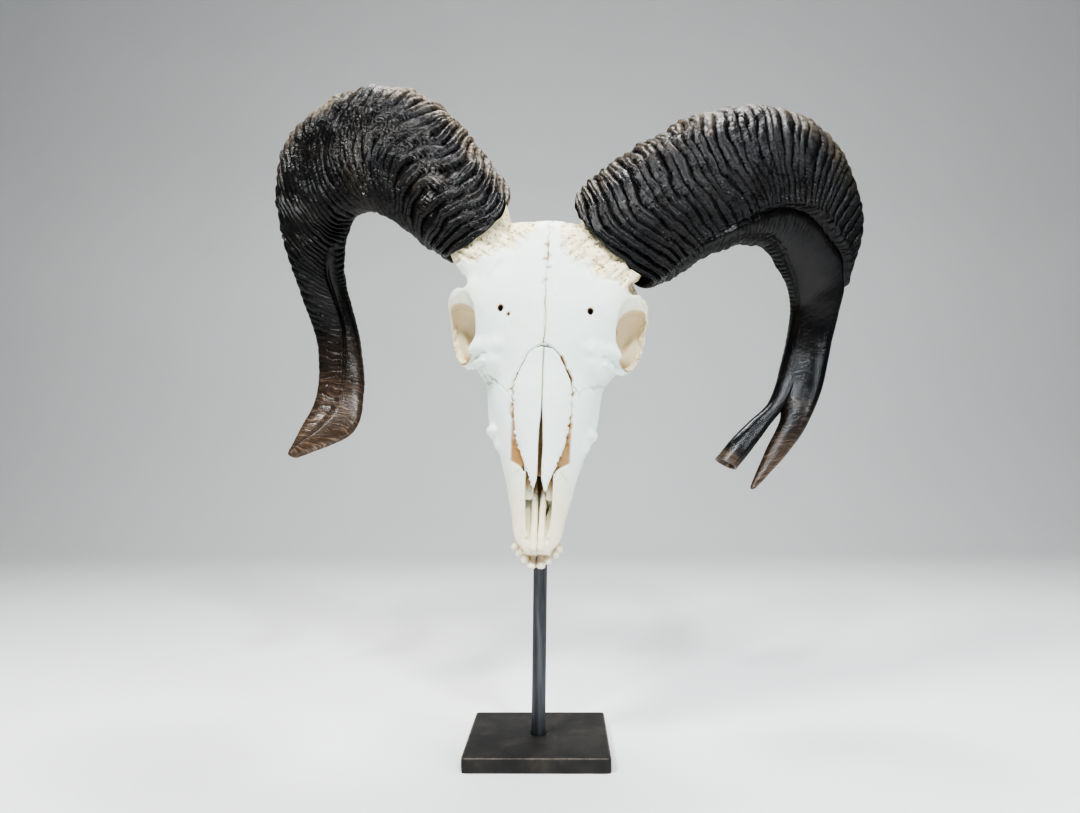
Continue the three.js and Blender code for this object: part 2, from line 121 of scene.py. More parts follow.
def rough_noise(points, size, octaves, seed=0):
    return sum(soft_noise(points, size / 2 ** n, seed + n) / 2 ** n for n in range(octaves))


def ramp(low, high, value):
    t = np.clip((value - low) / (high - low), 0, 1)
    return t * t * (3 - 2 * t)


print("noise at the origin:", round(float(soft_noise([0, 0, 0], 5)), 3))

# %% [markdown]
# Bone is modelled as a field: a block of numbers that says, at each point of a lattice, how far the bone's
# surface is, less than nothing inside. Adding a shape takes the smaller distance, cutting takes the larger
# of one and minus the other, and rounding that choice off melts the shapes together as bone does.

# %% Field
class Field:
    def __init__(self, low, high, step):
        self.step = step
        self.low = np.asarray(low, float)
        count = np.ceil((np.asarray(high, float) - low) / step).astype(int) + 1
        self.axes = [self.low[k] + step * np.arange(count[k]) for k in range(3)]
        self.value = np.full(count, 30.0, np.float32)

    def window(self, low, high):
        """The slice of the lattice between two corners, and its coordinates."""
        cut = [slice(max(int((low[k] - self.low[k]) / self.step), 0),
                     max(int((high[k] - self.low[k]) / self.step) + 2, 0)) for k in range(3)]
        x, h, z = (self.axes[k][cut[k]].astype(np.float32) for k in range(3))
        return tuple(cut), x[:, None, None], h[None, :, None], z[None, None, :]

    def add(self, cut, distance, soft):
        self.value[cut] = soft_min(self.value[cut], distance, soft)

    def carve(self, cut, distance, soft):
        self.value[cut] = -soft_min(-self.value[cut], distance, soft)


def soft_min(a, b, soft):
    near = np.maximum(soft - np.abs(a - b), 0) / soft
    return np.minimum(a, b) - near * near * soft * 0.25


print("a soft join of 1 and 1.5 is", round(float(soft_min(np.float32(1), np.float32(1.5), 2)), 3))

# %% [markdown]
# Five kinds of soft shape make every bone here. A body is a row of rounded-square sections, a bar is a bent
# rod that may thicken, an egg is an egg, a plate is an outline with a thickness, and a horn core is a post
# of a given section that bends once. Each works only near itself, which keeps the field quick.

# %% Soft shapes
def body(field, rows, soft, carve=False):
    rows = np.asarray(rows, float)
    reach = rows[:, 1].max() + 6
    low = (-reach, rows[:, 4].min() - 8, rows[0, 0] - 6)
    high = (reach, rows[:, 2].max() + 8, rows[-1, 0] + 6)
    cut, x, h, z = field.window(low, high)
    if 0 in field.value[cut].shape:
        return
    size = track(rows)(np.clip(z[0, 0], rows[0, 0], rows[-1, 0])).astype(np.float32)
    half, top, middle, bottom, square = (size[:, k][None, None, :] for k in range(5))
    up = h - middle
    tall = np.where(up > 0, top - middle, middle - bottom)
    r = ((np.abs(x) / half) ** square + (np.abs(up) / tall) ** square) ** (1 / square) + 1e-6
    distance = np.hypot(x, up) * (1 - 1 / r)
    beyond = np.maximum(rows[0, 0] - z, z - rows[-1, 0])
    distance = np.maximum(distance, beyond)
    (field.carve if carve else field.add)(cut, distance.astype(np.float32), soft)


def along(points, steps):
    """A smooth path through points, with any further columns carried along."""
    points = np.asarray(points, float)
    if len(points) < 3:
        return np.linspace(points[0], points[-1], steps)
    place = np.r_[0, np.cumsum(np.linalg.norm(np.diff(points[:, :3], axis=0), axis=1))]
    return track(np.c_[place, points])(np.linspace(0, place[-1], steps))


def bar(field, points, soft, stretch=(1, 1, 1), steps=16, carve=False):
    """Points are x, h, z and radius. A stretch over 1 widens the bar that way."""
    path = along(points, steps)
    stretch = np.asarray(stretch, float)
    margin = (path[:, 3].max() + soft + 2) * stretch.max()
    cut, x, h, z = field.window(path[:, :3].min(0) - margin, path[:, :3].max(0) + margin)
    if 0 in field.value[cut].shape:
        return
    x, h, z = x / stretch[0], h / stretch[1], z / stretch[2]
    nearest = np.full(field.value[cut].shape, 99, np.float32)
    for a, b in zip(path[:-1], path[1:]):
        start, end = a[:3] / stretch, b[:3] / stretch
        way = end - start
        length = max(way @ way, 1e-9)
        lead = (x - start[0]) * way[0] + (h - start[1]) * way[1] + (z - start[2]) * way[2]
        t = np.clip(lead / length, 0, 1)
        gap = np.sqrt((x - start[0] - t * way[0]) ** 2 + (h - start[1] - t * way[1]) ** 2
                      + (z - start[2] - t * way[2]) ** 2)
        nearest = np.minimum(nearest, gap - (a[3] + t * (b[3] - a[3])))
    (field.carve if carve else field.add)(cut, nearest.astype(np.float32), soft)


def egg(field, centre, radii, soft, carve=False):
    centre, radii = np.asarray(centre, float), np.asarray(radii, float)
    reach = radii + soft + 2
    cut, x, h, z = field.window(centre - reach, centre + reach)
    if 0 in field.value[cut].shape:
        return
    near = np.sqrt(((x - centre[0]) / radii[0]) ** 2 + ((h - centre[1]) / radii[1]) ** 2
                   + ((z - centre[2]) / radii[2]) ** 2) + 1e-6
    slope = np.sqrt(((x - centre[0]) / radii[0] ** 2) ** 2 + ((h - centre[1]) / radii[1] ** 2) ** 2
                    + ((z - centre[2]) / radii[2] ** 2) ** 2) + 1e-6
    distance = near * (near - 1) / slope
    (field.carve if carve else field.add)(cut, distance.astype(np.float32), soft)


def outline_distance(a, b, outline):
    """Distance to a closed outline in the plane of a and b, less than nothing inside."""
    outline = np.asarray(outline, float)
    best = np.full(np.broadcast(a, b).shape, 1e9)
    sign = np.ones_like(best)
    for (a0, b0), (a1, b1) in zip(outline, np.roll(outline, -1, axis=0)):
        da, db = a1 - a0, b1 - b0
        t = np.clip(((a - a0) * da + (b - b0) * db) / max(da * da + db * db, 1e-9), 0, 1)
        best = np.minimum(best, (a - a0 - t * da) ** 2 + (b - b0 - t * db) ** 2)
        crosses = ((b0 <= b) & (b < b1)) | ((b1 <= b) & (b < b0))
        at = a0 + (b - b0) * da / (db if abs(db) > 1e-9 else 1e-9)
        sign = np.where(crosses & (a < at), -sign, sign)
    return np.sqrt(best) * sign


def plate(field, outline, middle, half_thick, soft):
    """A plate seen from the side: outline holds z and h, and middle(h, z) gives its x."""
    rounding = 1.5
    outline = np.asarray(outline, float)
    low = (-70, outline[:, 1].min() - soft - 3, outline[:, 0].min() - soft - 3)
    high = (70, outline[:, 1].max() + soft + 3, outline[:, 0].max() + soft + 3)
    cut, x, h, z = field.window(low, high)
    if 0 in field.value[cut].shape:
        return
    edge = outline_distance(z, h, outline)
    face = np.abs(x - middle(h, z)) - half_thick
    edge, face = edge + rounding, face + rounding
    outside = np.hypot(np.maximum(edge, 0), np.maximum(face, 0))
    distance = np.minimum(np.maximum(edge, face), 0) + outside - rounding
    field.add(cut, distance.astype(np.float32), soft)


def horn_core(field, section, root, follow, share, reach_in, soft):
    """A bony core from a root inside the forehead to a horn's base, then a little way into the horn."""
    centre, across, back, width, depth = section
    square = 2.3
    facing = np.cross(across, back)
    axis = (centre - root) / np.linalg.norm(centre - root)
    reach = max(width, depth) * 0.6
    ends = [root, centre + follow * reach_in]
    cut, x, h, z = field.window(np.min(ends, axis=0) - reach, np.max(ends, axis=0) + reach)
    lead = ((x - centre[0]) * facing[0] + (h - centre[1]) * facing[1] + (z - centre[2]) * facing[2])
    lead = np.where(lead * (facing @ axis) < 0, lead / (facing @ axis), lead / (facing @ follow))
    way = np.where(lead[..., None] < 0, axis, follow)
    spot = np.stack(np.broadcast_arrays(x - centre[0], h - centre[1], z - centre[2]), -1)
    offset = spot - lead[..., None] * way
    u, v = offset @ across, offset @ back
    narrow = np.clip(1 + 0.010 * lead, 0.5, 1)
    inward = np.interp(lead, [-46, -37, -31, -22, 0, 12], [0.5, 0.78, 0.94, 1.04, 0.97, 0.9])
    half_wide = share * np.where(u > 0, narrow, inward) * width / 2
    half_deep = share * depth / 2
    r = ((np.abs(u) / half_wide) ** square + (np.abs(v) / half_deep) ** square) ** (1 / square) + 1e-6
    distance = np.hypot(u, v) * (1 - 1 / r)
    length = np.linalg.norm(centre - root)
    distance = np.maximum(distance, np.maximum(-length - 6 - lead, lead - reach_in))
    field.add(cut, distance.astype(np.float32), soft)


print("an egg of a field:", Field((0, 0, 0), (10, 10, 10), 1.0).value.shape, "lattice points")

# %% [markdown]
# A field becomes a mesh by surface nets. Each small cube that the surface passes through gets one point, at
# the mean of where the surface crosses the cube's edges, and each crossed edge joins the four cubes round
# it with a face. It is the smoothest of the simple ways, and it never leaves a hole.

# %% Surface nets
def skin(field):
    value = field.value
    inside = value < 0
    n = np.array(value.shape) - 1
    corners = [inside[i:n[0] + i, j:n[1] + j, k:n[2] + k] for i in (0, 1) for j in (0, 1) for k in (0, 1)]
    some = np.logical_or.reduce(corners)
    all_in = np.logical_and.reduce(corners)
    cells = np.argwhere(some & ~all_in)
    number = np.full(n, -1, np.int32)
    number[tuple(cells.T)] = np.arange(len(cells))
    total, count = np.zeros((len(cells), 3)), np.zeros(len(cells))
    for axis in range(3):
        others = [k for k in range(3) if k != axis]
        for a in (0, 1):
            for b in (0, 1):
                offset = np.zeros(3, int)
                offset[others[0]], offset[others[1]] = a, b
                first = cells + offset
                second = first.copy()
                second[:, axis] += 1
                va, vb = value[tuple(first.T)], value[tuple(second.T)]
                cross = (va < 0) != (vb < 0)
                t = np.where(cross, va / np.where(cross, va - vb, 1), 0)
                spot = offset[None, :].astype(float).repeat(len(cells), 0)
                spot[:, axis] = t
                total += spot * cross[:, None]
                count += cross
    points = field.low + field.step * (cells + total / count[:, None])
    quads = []
    for axis in range(3):
        u, v = [k for k in range(3) if k != axis]
        lower = [slice(None)] * 3
        upper = [slice(None)] * 3
        lower[axis], upper[axis] = slice(0, -1), slice(1, None)
        change = np.argwhere(inside[tuple(lower)] != inside[tuple(upper)])
        beside = change[:, [u, v]]
        change = change[((beside > 0) & (beside < n[[u, v]])).all(axis=1)]
        ring = []
        for a, b in ((1, 1), (0, 1), (0, 0), (1, 0)):
            cell = change.copy()
            cell[:, u] -= a
            cell[:, v] -= b
            ring.append(number[tuple(cell.T)])
        ring = np.stack(ring, 1)
        out = inside[tuple(change.T)]
        if axis == 1:
            out = ~out
        ring[~out] = ring[~out][:, ::-1]
        quads.append(ring)
    return points, np.concatenate(quads)


def normals_of(points, quads):
    a, b, c, d = (points[quads[:, k]] for k in range(4))
    face = np.cross(c - a, d - b)
    total = np.zeros_like(points)
    for k in range(4):
        for axis in range(3):
            total[:, axis] += np.bincount(quads[:, k], face[:, axis], len(points))
    return total / (np.linalg.norm(total, axis=1, keepdims=True) + 1e-12)


def new_piece(name, points, faces, material, node, marks=None, on_skull=True):
    """A smooth mesh object made of arrays; marks are values that its material reads."""
    mesh = bpy.data.meshes.new(name)
    room = to_room(points) if on_skull else np.asarray(points, float) / 1000.0
    if isinstance(faces, list):
        sizes = np.array([len(f) for f in faces])
        loops = np.concatenate([np.asarray(f) for f in faces])
    else:
        a, b, c, d = (room[faces[:, k]] for k in (0, 1, 2, -1))
        if (a * np.cross(b, c) + a * np.cross(c, d)).sum() < 0:
            faces = faces[:, ::-1]
        sizes, loops = np.full(len(faces), faces.shape[1]), faces.ravel()
    mesh.vertices.add(len(room))
    mesh.vertices.foreach_set("co", room.astype(np.float32).ravel())
    mesh.loops.add(len(loops))
    mesh.loops.foreach_set("vertex_index", loops.astype(np.int32))
    mesh.polygons.add(len(sizes))
    mesh.polygons.foreach_set("loop_start", np.r_[0, np.cumsum(sizes)[:-1]].astype(np.int32))
    mesh.polygons.foreach_set("loop_total", sizes.astype(np.int32))
    mesh.update(calc_edges=True)
    mesh.validate()
    mesh.shade_smooth()
    for mark, value in (marks or {}).items():
        layer = mesh.attributes.new(mark, "FLOAT", "POINT")
        layer.data.foreach_set("value", np.asarray(value, np.float32))
    mesh.materials.append(material)
    piece = bpy.data.objects.new(name, mesh)
    bpy.context.scene.collection.objects.link(piece)
    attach(piece, "root")
    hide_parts(node)
    print(f"{name}: {len(points)} points, {int((sizes - 2).sum())} triangles")
    return piece


print("surface nets ready")

# %% [markdown]
# Materials are graphs of nodes. Writing such graphs as sums is easier to read, so a small class wraps a
# socket and turns Python's own signs into Math nodes. Colours go through Mix nodes, and every other kind of
# node comes from one method.

# %% Shader tools
class Graph:
    def __init__(self, name, **fixed):
        self.material = bpy.data.materials.new(name)
        self.material.use_nodes = True
        self.tree = self.material.node_tree
        self.shader = self.tree.nodes["Principled BSDF"]
        for socket, value in fixed.items():
            self.shader.inputs[socket.replace("_", " ")].default_value = value

    def node(self, kind, inputs=None, **settings):
        made = self.tree.nodes.new(kind)
        for key, value in settings.items():
            setattr(made, key, value)
        for key, value in (inputs or {}).items():
            self.feed(made.inputs[key], value)
        return made

    def feed(self, socket, value):
        if isinstance(value, Number):
            value = value.socket
        if isinstance(value, bpy.types.NodeSocket):
            self.tree.links.new(value, socket)
        else:
            socket.default_value = value

    def number(self, socket):
        return Number(self, socket)

    def mark(self, name):
        return self.number(self.node("ShaderNodeAttribute", attribute_name=name).outputs["Fac"])

    def noise(self, scale, detail=3.0, roughness=0.5, vector=None, distortion=0.0):
        inputs = {"Vector": vector or self.place(), "Scale": scale, "Detail": detail,
                  "Roughness": roughness, "Distortion": distortion}
        return self.number(self.node("ShaderNodeTexNoise", inputs).outputs["Fac"])

    def place(self):
        return self.node("ShaderNodeTexCoord").outputs["Object"]

    def scaled(self, vector, factors):
        return self.node("ShaderNodeVectorMath", {0: vector, 1: factors}, operation="MULTIPLY").outputs[0]

    def mix(self, factor, first, second):
        node = self.node("ShaderNodeMix", data_type="RGBA", clamp_factor=True)
        self.feed(node.inputs[0], factor)
        self.feed(node.inputs[6], first)
        self.feed(node.inputs[7], second)
        return node.outputs[2]

    def bump(self, height, strength, distance, normal=None):
        inputs = {"Height": height, "Strength": strength, "Distance": distance}
        if normal is not None:
            inputs["Normal"] = normal
        return self.node("ShaderNodeBump", inputs).outputs["Normal"]

    def finish(self, **fed):
        for socket, value in fed.items():
            self.feed(self.shader.inputs[socket.replace("_", " ")], value)
        return self.material

    def darken(self, share):
        """Mix the shader with a black that shines nowhere, which is how a deep narrow valley looks."""
        black = {"Base Color": (0.002, 0.002, 0.002, 1), "Roughness": 1.0, "Specular IOR Level": 0.0}
        deep = self.node("ShaderNodeBsdfPrincipled", black).outputs[0]
        blend = self.node("ShaderNodeMixShader", {0: share, 1: self.shader.outputs[0], 2: deep}).outputs[0]
        self.feed(self.tree.nodes["Material Output"].inputs["Surface"], blend)


class Number:
    def __init__(self, graph, socket):
        self.graph, self.socket = graph, socket

    def _math(self, operation, first, second=None, third=None):
        inputs = {k: v for k, v in enumerate((first, second, third)) if v is not None}
        return Number(self.graph, self.graph.node("ShaderNodeMath", inputs, operation=operation).outputs[0])

    def __add__(self, other): return self._math("ADD", self, other)
    def __radd__(self, other): return self._math("ADD", other, self)
    def __sub__(self, other): return self._math("SUBTRACT", self, other)
    def __rsub__(self, other): return self._math("SUBTRACT", other, self)
    def __mul__(self, other): return self._math("MULTIPLY", self, other)
    def __rmul__(self, other): return self._math("MULTIPLY", other, self)
    def __truediv__(self, other): return self._math("DIVIDE", self, other)
    def __neg__(self): return self._math("MULTIPLY", self, -1.0)
    def __abs__(self): return self._math("ABSOLUTE", self)
    def power(self, other): return self._math("POWER", self, other)
    def low(self, other): return self._math("MINIMUM", self, other)
    def high(self, other): return self._math("MAXIMUM", self, other)

    def ramp(self, low, high):
        """0 below low and 1 above high, with a soft step between; low may be above high."""
        inputs = {"Value": self, "From Min": low, "From Max": high}
        made = self.graph.node("ShaderNodeMapRange", inputs, interpolation_type="SMOOTHSTEP")
        return Number(self.graph, made.outputs[0])


print("shader tools ready")

# %% [markdown]
# Bleached bone is chalk white with a cool cast, creamier where it is porous, and almost matt. Its surface
# has a fine grain, faint clouds, a scatter of pin holes, and deep pits where the horn cores begin. The
# marks that the meshes carry say where it is porous and where dirt stays in a seam, and where shade is
# painted on: brown in the eye sockets, near black in the nerve holes. Inside the nose they give its tan.

# %% Bone material
def bone_material(name, white, cream):
    g = Graph(name, Specular_IOR_Level=0.35, Roughness=0.6)
    rough, socket_shade_and_nose_tan, stain_and_hole_shade, creamy = g.mark("rough"), g.mark("socket_shade_and_nose_tan"), g.mark("stain_and_hole_shade"), g.mark("cream")
    cloud = g.noise(28.0, 4.0, 0.55)
    patch = g.noise(75.0, 5.0, 0.62)
    grain = g.noise(900.0, 3.0, 0.6)
    pores = g.node("ShaderNodeTexVoronoi", {"Vector": g.place(), "Scale": 420.0})
    pits = g.number(pores.outputs["Distance"]).ramp(0.34, 0.1)
    speck = g.noise(190.0, 2.0, 0.5).ramp(0.64, 0.72)
    vein = abs(g.noise(46.0, 4.0, 0.55, distortion=0.6) - 0.5).ramp(0.03, 0.0)
    base = g.mix(cloud.ramp(0.35, 0.75) * 0.4 + patch.ramp(0.45, 0.75) * 0.2, white, cream)
    base = g.mix(creamy * (0.6 + cloud * 0.7), base, (0.82, 0.74, 0.52, 1))
    base = g.mix(rough * (0.65 + cloud * 0.45), base, (0.8, 0.7, 0.46, 1))
    base = g.mix(rough * pits * 0.7, base, (0.45, 0.32, 0.17, 1))
    # Painted shade: brown in the eye sockets, strongest towards their lower end; inside the nose the same
    # mark gives the bone's own tan.
    base = g.mix(socket_shade_and_nose_tan * (0.75 + cloud * 0.4), base, (0.33, 0.19, 0.075, 1))
    base = g.mix((stain_and_hole_shade * (0.75 + cloud * 1.2)).low(1.0), base, (0.34, 0.18, 0.06, 1))
    # Painted shade: where the mark is near full, in the nerve holes, the bone goes near black.
    base = g.mix(stain_and_hole_shade.ramp(0.72, 0.95), base, (0.05, 0.033, 0.02, 1))
    base = g.mix(speck * 0.16 + vein * 0.06, base, (0.6, 0.5, 0.36, 1))
    normal = g.bump(grain, 0.15, 0.0004)
    normal = g.bump(pits * (rough * 0.9 + 0.05), 0.9, -0.0009, normal)
    normal = g.bump(patch, 0.3, 0.0016, normal)
    return g.finish(Base_Color=base, Roughness=0.5 + grain * 0.16 + rough * 0.14, Normal=normal)


BONE = bone_material("bone", (0.74, 0.83, 0.78, 1), (0.79, 0.81, 0.70, 1))
JAW_BONE = bone_material("jaw_bone", (0.8, 0.8, 0.74, 1), (0.76, 0.68, 0.52, 1))
print("materials:", BONE.name, JAW_BONE.name)

# %% [markdown]
# The skull is one shape before it is parted. Two bodies give the face and the braincase: each row holds z,
# the half width, the heights of the top, the widest level and the underside, and how square the section is.
# The tables are short because the eye sockets, cheek bones, ridges and knobs are added to them one by one.

# %% Skull tables
FACE = [
    [-3, 7.5, 8, 5, 2, 2.4], [4, 14, 12.5, 7, 1, 2.3], [10, 16.6, 17, 8.5, 1, 2.2],
    [19, 18.0, 24, 10, 2, 2.1], [32, 21.3, 34, 14, 2, 2.0], [45, 24.3, 43, 18, 2, 2.0],
    [58, 28.6, 51, 22, 1, 2.1],
    [76, 34, 63, 30, 0, 2.2], [90, 36.5, 72, 36, 0, 2.3], [106, 39, 80.5, 42, 1, 2.4],
    [117, 45, 88, 56, 8, 2.5], [130, 49, 96, 70, 36, 2.6], [141, 55, 102, 76, 46, 2.7],
    [151, 57, 106, 79, 52, 2.7], [160, 50.5, 109, 82, 56, 2.7], [174, 48, 112.5, 84, 56, 2.6],
    [190, 45, 110.5, 82, 52, 2.6], [199, 42, 97, 74, 48, 2.5], [210, 38, 78, 62, 44, 2.4],
    [220, 30, 63, 52, 40, 2.2],
]
BRAINCASE = [
    [96, 22, 60, 34, 6, 2.2], [126, 22, 76, 44, 16, 2.2], [156, 26, 88, 52, 20, 2.2],
    [186, 34, 94, 56, 19, 2.3], [208, 36, 76, 46, 18, 2.4], [226, 31, 55, 38, 19, 2.3],
    [236, 20, 44, 34, 24, 2.1],
]
top_of_face = track(FACE)


def face_height(z):
    return top_of_face(z)[..., 1]


print("forehead is", round(float(face_height(190)), 1), "mm above the palate")

# %% [markdown]
# Horn sections are given by the outer edge and the inner edge of the horn as x and z, the height h of its
# middle and its depth. From them comes a frame at each place along the horn: its centre, the way across it
# and the way back. The bony core below a horn uses the first of these frames.

# %% Horn frames
RIGHT_HORN = [
    [-32, 230, -72, 181, 86, 62], [-53, 258, -95, 198, 87, 66], [-78, 288, -115, 216, 84, 66],
    [-115, 313, -135, 229, 76, 63], [-160, 322, -154, 238, 58, 58], [-198, 312, -165, 236, 38, 50],
    [-220, 286, -171, 228, 17, 42], [-221, 251, -172, 215, -5, 34], [-209, 209, -167, 200, -27, 27],
    [-193, 168, -157, 169, -42, 22], [-189, 126, -151, 129, -50, 17], [-197, 96, -156, 95, -50, 12],
    [-204, 76, -196, 73, -50, 5],
]
LEFT_HORN = [
    [19, 226, 71, 169, 83, 62], [31, 243, 88, 180, 82, 66], [61, 270, 106, 197, 79, 66],
    [99, 300, 128, 212, 71, 64], [146, 325, 146, 227, 53, 60], [188, 329, 163, 235, 34, 54],
    [220, 314, 177, 231, 11, 47], [240, 280, 187, 222, -10, 38], [235, 239, 191, 210, -29, 31],
    [226, 196, 188, 188, -43, 25], [217, 155, 180, 151, -50, 20], [205, 125, 183, 126, -52, 16],
    [190, 100, 170, 97, -54, 12], [162, 68, 158, 69, -54, 5],
]
PRONG = [
    [201, 167, 181, 158, -47, 13], [188, 138, 172, 136, -48, 14], [172, 115, 156, 119, -47, 14],
    [158, 96, 143, 104, -45, 13], [146, 80, 130, 87, -45, 13],
]


def horn_frames(rows, places):
    rows = np.asarray(rows, float)
    size = track(np.c_[np.linspace(0, 1, len(rows)), rows])(places)
    outer_x, outer_z, inner_x, inner_z, height, depth = size.T
    lean = math.tan(TIP_BACK)
    across = np.c_[outer_x - inner_x, (outer_z - inner_z) * lean, outer_z - inner_z]
    centre = np.c_[(outer_x + inner_x) / 2, height, (outer_z + inner_z) / 2]
    width = np.linalg.norm(across, axis=1)
    across = across / width[:, None]
    tangent = np.gradient(centre, axis=0)
    back = np.cross(tangent, across)
    back /= np.linalg.norm(back, axis=1)[:, None]
    back[back[:, 1] > 0] *= -1
    return centre, across, back, width, depth


CENTRE = 0
for name, rows in (("right", RIGHT_HORN), ("left", LEFT_HORN)):
    middle = horn_frames(rows, np.linspace(0, 1, 200))[CENTRE]
    print(name, "horn is", int(np.linalg.norm(np.diff(middle, axis=0), axis=1).sum()), "mm along its middle")

# %% [markdown]
# Half of the skull goes into a field first. Face and braincase come as bodies, then the tear bones, cheek
# crest and cheek arch, then the cup of the eye socket, which is hollowed before its thin rim is laid on.
# Doing it on one side only, and mirroring the numbers, halves the work. It is written as a function so that
# the finest bones can be cut from a finer lattice.

# %% Half a skull
BROW = [[46, 91, 153.5, 7], [55, 84, 152, 5.8], [61, 75, 152.5, 4.8], [64.3, 64, 152, 3.6], [65, 54, 151, 3]]
LOWER_RIM = [
    [65.3, 54, 151, 2.6], [65.9, 47, 146, 1.8], [64.8, 44, 139, 1.5], [62.4, 43, 130, 1.5],
    [58.0, 45, 120, 1.6], [52, 51, 113.4, 1.8], [46, 62, 110.5, 1.9], [43.5, 68, 109.5, 1.7],
    [40, 73.5, 108.5, 1.4],
]
SOCKET_CENTRE, SOCKET_RADII = (58, 62, 132), (14.2, 21, 20)
TEAR_LOBE = [[30, 80, 118, 4.5], [38, 75.5, 119, 4.6], [44, 73.5, 118.5, 3.6], [48, 71, 117, 2.0]]
CHEEK_CREST = [
    [28, 32, 66, 4], [30.5, 34, 80, 5.5], [31.5, 40, 98, 6], [34.5, 45, 107, 5], [40, 47, 113, 4.5],
]
CHEEK_ARCH = [[40, 47, 113, 3.6], [49, 43, 122, 4.2], [58.5, 39, 138, 4.4], [63, 37, 154, 4.4],
              [61, 36, 174, 4.8], [53, 35, 190, 5.2], [36, 36, 198, 5.0]]


def face_side(field):
    body(field, FACE, 0.5)
    body(field, BRAINCASE, 7)
    egg(field, (33, 60, 113), (11, 18, 12), 7)
    egg(field, (32.5, 38, 72.5), (5, 6, 3.6), 2)
    egg(field, (53, 57, 137), (16, 23, 24), 6)
    bar(field, CHEEK_CREST, 6)
    bar(field, BROW, 4)
    egg(field, (54, 52, 184), (18, 22, 21), 4, carve=True)
    egg(field, (58.5, 62, 132), (14.5, 21, 20), 2, carve=True)
    bar(field, [[56, 64, 130.5, 17.6], [57, 112, 130.5, 18]], 1.2, stretch=(0.6, 1, 1), carve=True)
    bar(field, TEAR_LOBE, 4.5)
    bar(field, LOWER_RIM, 2, steps=30)
    egg(field, SOCKET_CENTRE, SOCKET_RADII, 0.6, carve=True)
    bar(field, [[37, 76.5, 113, 0.8], [43, 73.5, 113, 1.4], [48, 70, 113, 1.6]], 0.6, carve=True)
    bar(field, CHEEK_ARCH, 4, stretch=(0.75, 1.25, 1), steps=24)


print("lower rim of the socket:", len(LOWER_RIM), "points")

# %% [markdown]
# The underside has its own landmarks: the round ear bones, the condyles that carry the head on the neck,
# the long spurs beside them, the wings behind the palate and the crest at the nape.

# %% Underside
def underside(field):
    egg(field, (17, 20, 206), (7, 9, 10), 2)
    egg(field, (33, 36, 205), (8, 11, 11), 3)
    egg(field, (11, 29, 236), (7, 9, 6.5), 1.5)
    bar(field, [[21, 34, 222, 6], [25, 12, 227, 4], [24, -4, 225, 2.2]], 3)
    wing = [[13, 26, 166, 3], [13, 11, 150, 3], [13, 5, 132, 3], [16, 6, 112, 3.4]]
    bar(field, wing, 3, stretch=(0.7, 1.3, 1))
    bar(field, [[31, 44, 214, 4], [20, 57, 218, 4.4], [0, 61, 220, 4.4], [-6, 60, 220, 4.4]], 3)


print("underside ready")

# %% [markdown]
# Openings come last so that nothing fills them again: the nose and the notch before it, the slits of the
# palate, the vault of the palate between the teeth, the nerve holes and the hole for the spinal cord. Two
# thin bars of the palate are laid back along the nose's floor, and the scroll bones that fill the nose are
# laid in behind the place of the nasal bones, where they show tan through the gaps.

# %% Openings
NOSE_HOLLOW = [
    [-6, 5, 12.5, 11.5, 10.5, 2.2], [6, 8, 14, 12, 11, 2.2], [20, 12.5, 20, 15, 12.5, 2.2],
    [34, 16, 30, 23, 17, 2.2], [46, 18.5, 38, 29, 21, 2.2], [60, 20, 47, 33, 23, 2.2],
    [76, 20, 57, 36, 20, 2.2],
]
SCROLL = [
    [8.2, 23, 32, 2.2], [9.6, 28.5, 41, 3.2], [11, 34.5, 50, 4.4], [11, 41.5, 62, 5.4], [11.5, 51, 76, 6.2],
    [11, 58.5, 92, 6.4],
]
PALATE_BAR = [
    [2.7, 9, 1, 3.2], [2.7, 13, 12, 2.5], [2.7, 17, 24, 2.3], [3.2, 20, 38, 2.0], [4.4, 20, 52, 1.6],
]
NERVE_HOLE, SMALL_HOLE = (28.5, 135), (23.3, 131.5)
NOTCH = [[4, 3], [8, 12], [9, 24], [9.4, 44], [12.5, 47.5], [18.6, 50.5], [19, 61], [13, 69], [0, 72]]


def openings(field):
    body(field, NOSE_HOLLOW, 1.2, carve=True)
    outline = NOTCH + [[-a, b] for a, b in NOTCH[::-1]]
    cut, x, h, z = field.window((-24, 13, 0), (24, 90, 76))
    if 0 not in field.value[cut].shape:
        edge = outline_distance(x[:, 0, :], z[0], outline)[:, None, :]
        field.carve(cut, np.maximum(edge, 14 - h).astype(np.float32), 1.0)
    bar(field, [[5.8, 16, 5.5, 0.9], [6.4, 19.5, 10, 1.8], [6.8, 23, 16, 2.4]], 1, carve=True)
    bar(field, [[0, -3, 30, 9], [0, -3, 70, 11], [0, -3, 122, 12]], 2, stretch=(1, 0.6, 1), carve=True)
    bar(field, PALATE_BAR, 1.2)
    bar(field, SCROLL, 2, stretch=(1.8, 1, 1))
    bar(field, [[0, 30, 47, 2.6], [0, 39, 62, 3.2], [0, 49, 76, 3.6], [0, 57, 92, 4]], 2)
    egg(field, (NERVE_HOLE[0], 95, NERVE_HOLE[1]), (1.3, 10, 1.7), 0.3, carve=True)
    bar(field, [[28.3, 97.6, 132, 1.5], [27, 91.0, 122, 0.9], [26, 86.4, 113, 0.5]], 0.8, carve=True)
    egg(field, (28, 24, 60), (6, 2.6, 4), 0.8, carve=True)
    egg(field, (0, 38, 238), (8, 8, 20), 1, carve=True)


print("notch of the nose:", len(NOTCH), "corners a side")

# %% [markdown]
# The two halves are put together and the horn cores are added, each with its own lean, since no ram's two
# horns are alike. A core swells out of the forehead without a step and runs on into the sheath. The notch
# behind each eye socket is cut after the cores, as they would fill it again, and a small second nerve hole
# is on one side only.

# %% Whole skull
CORE_SHARE, CORE_REACH, APRON = 0.86, 11, 25


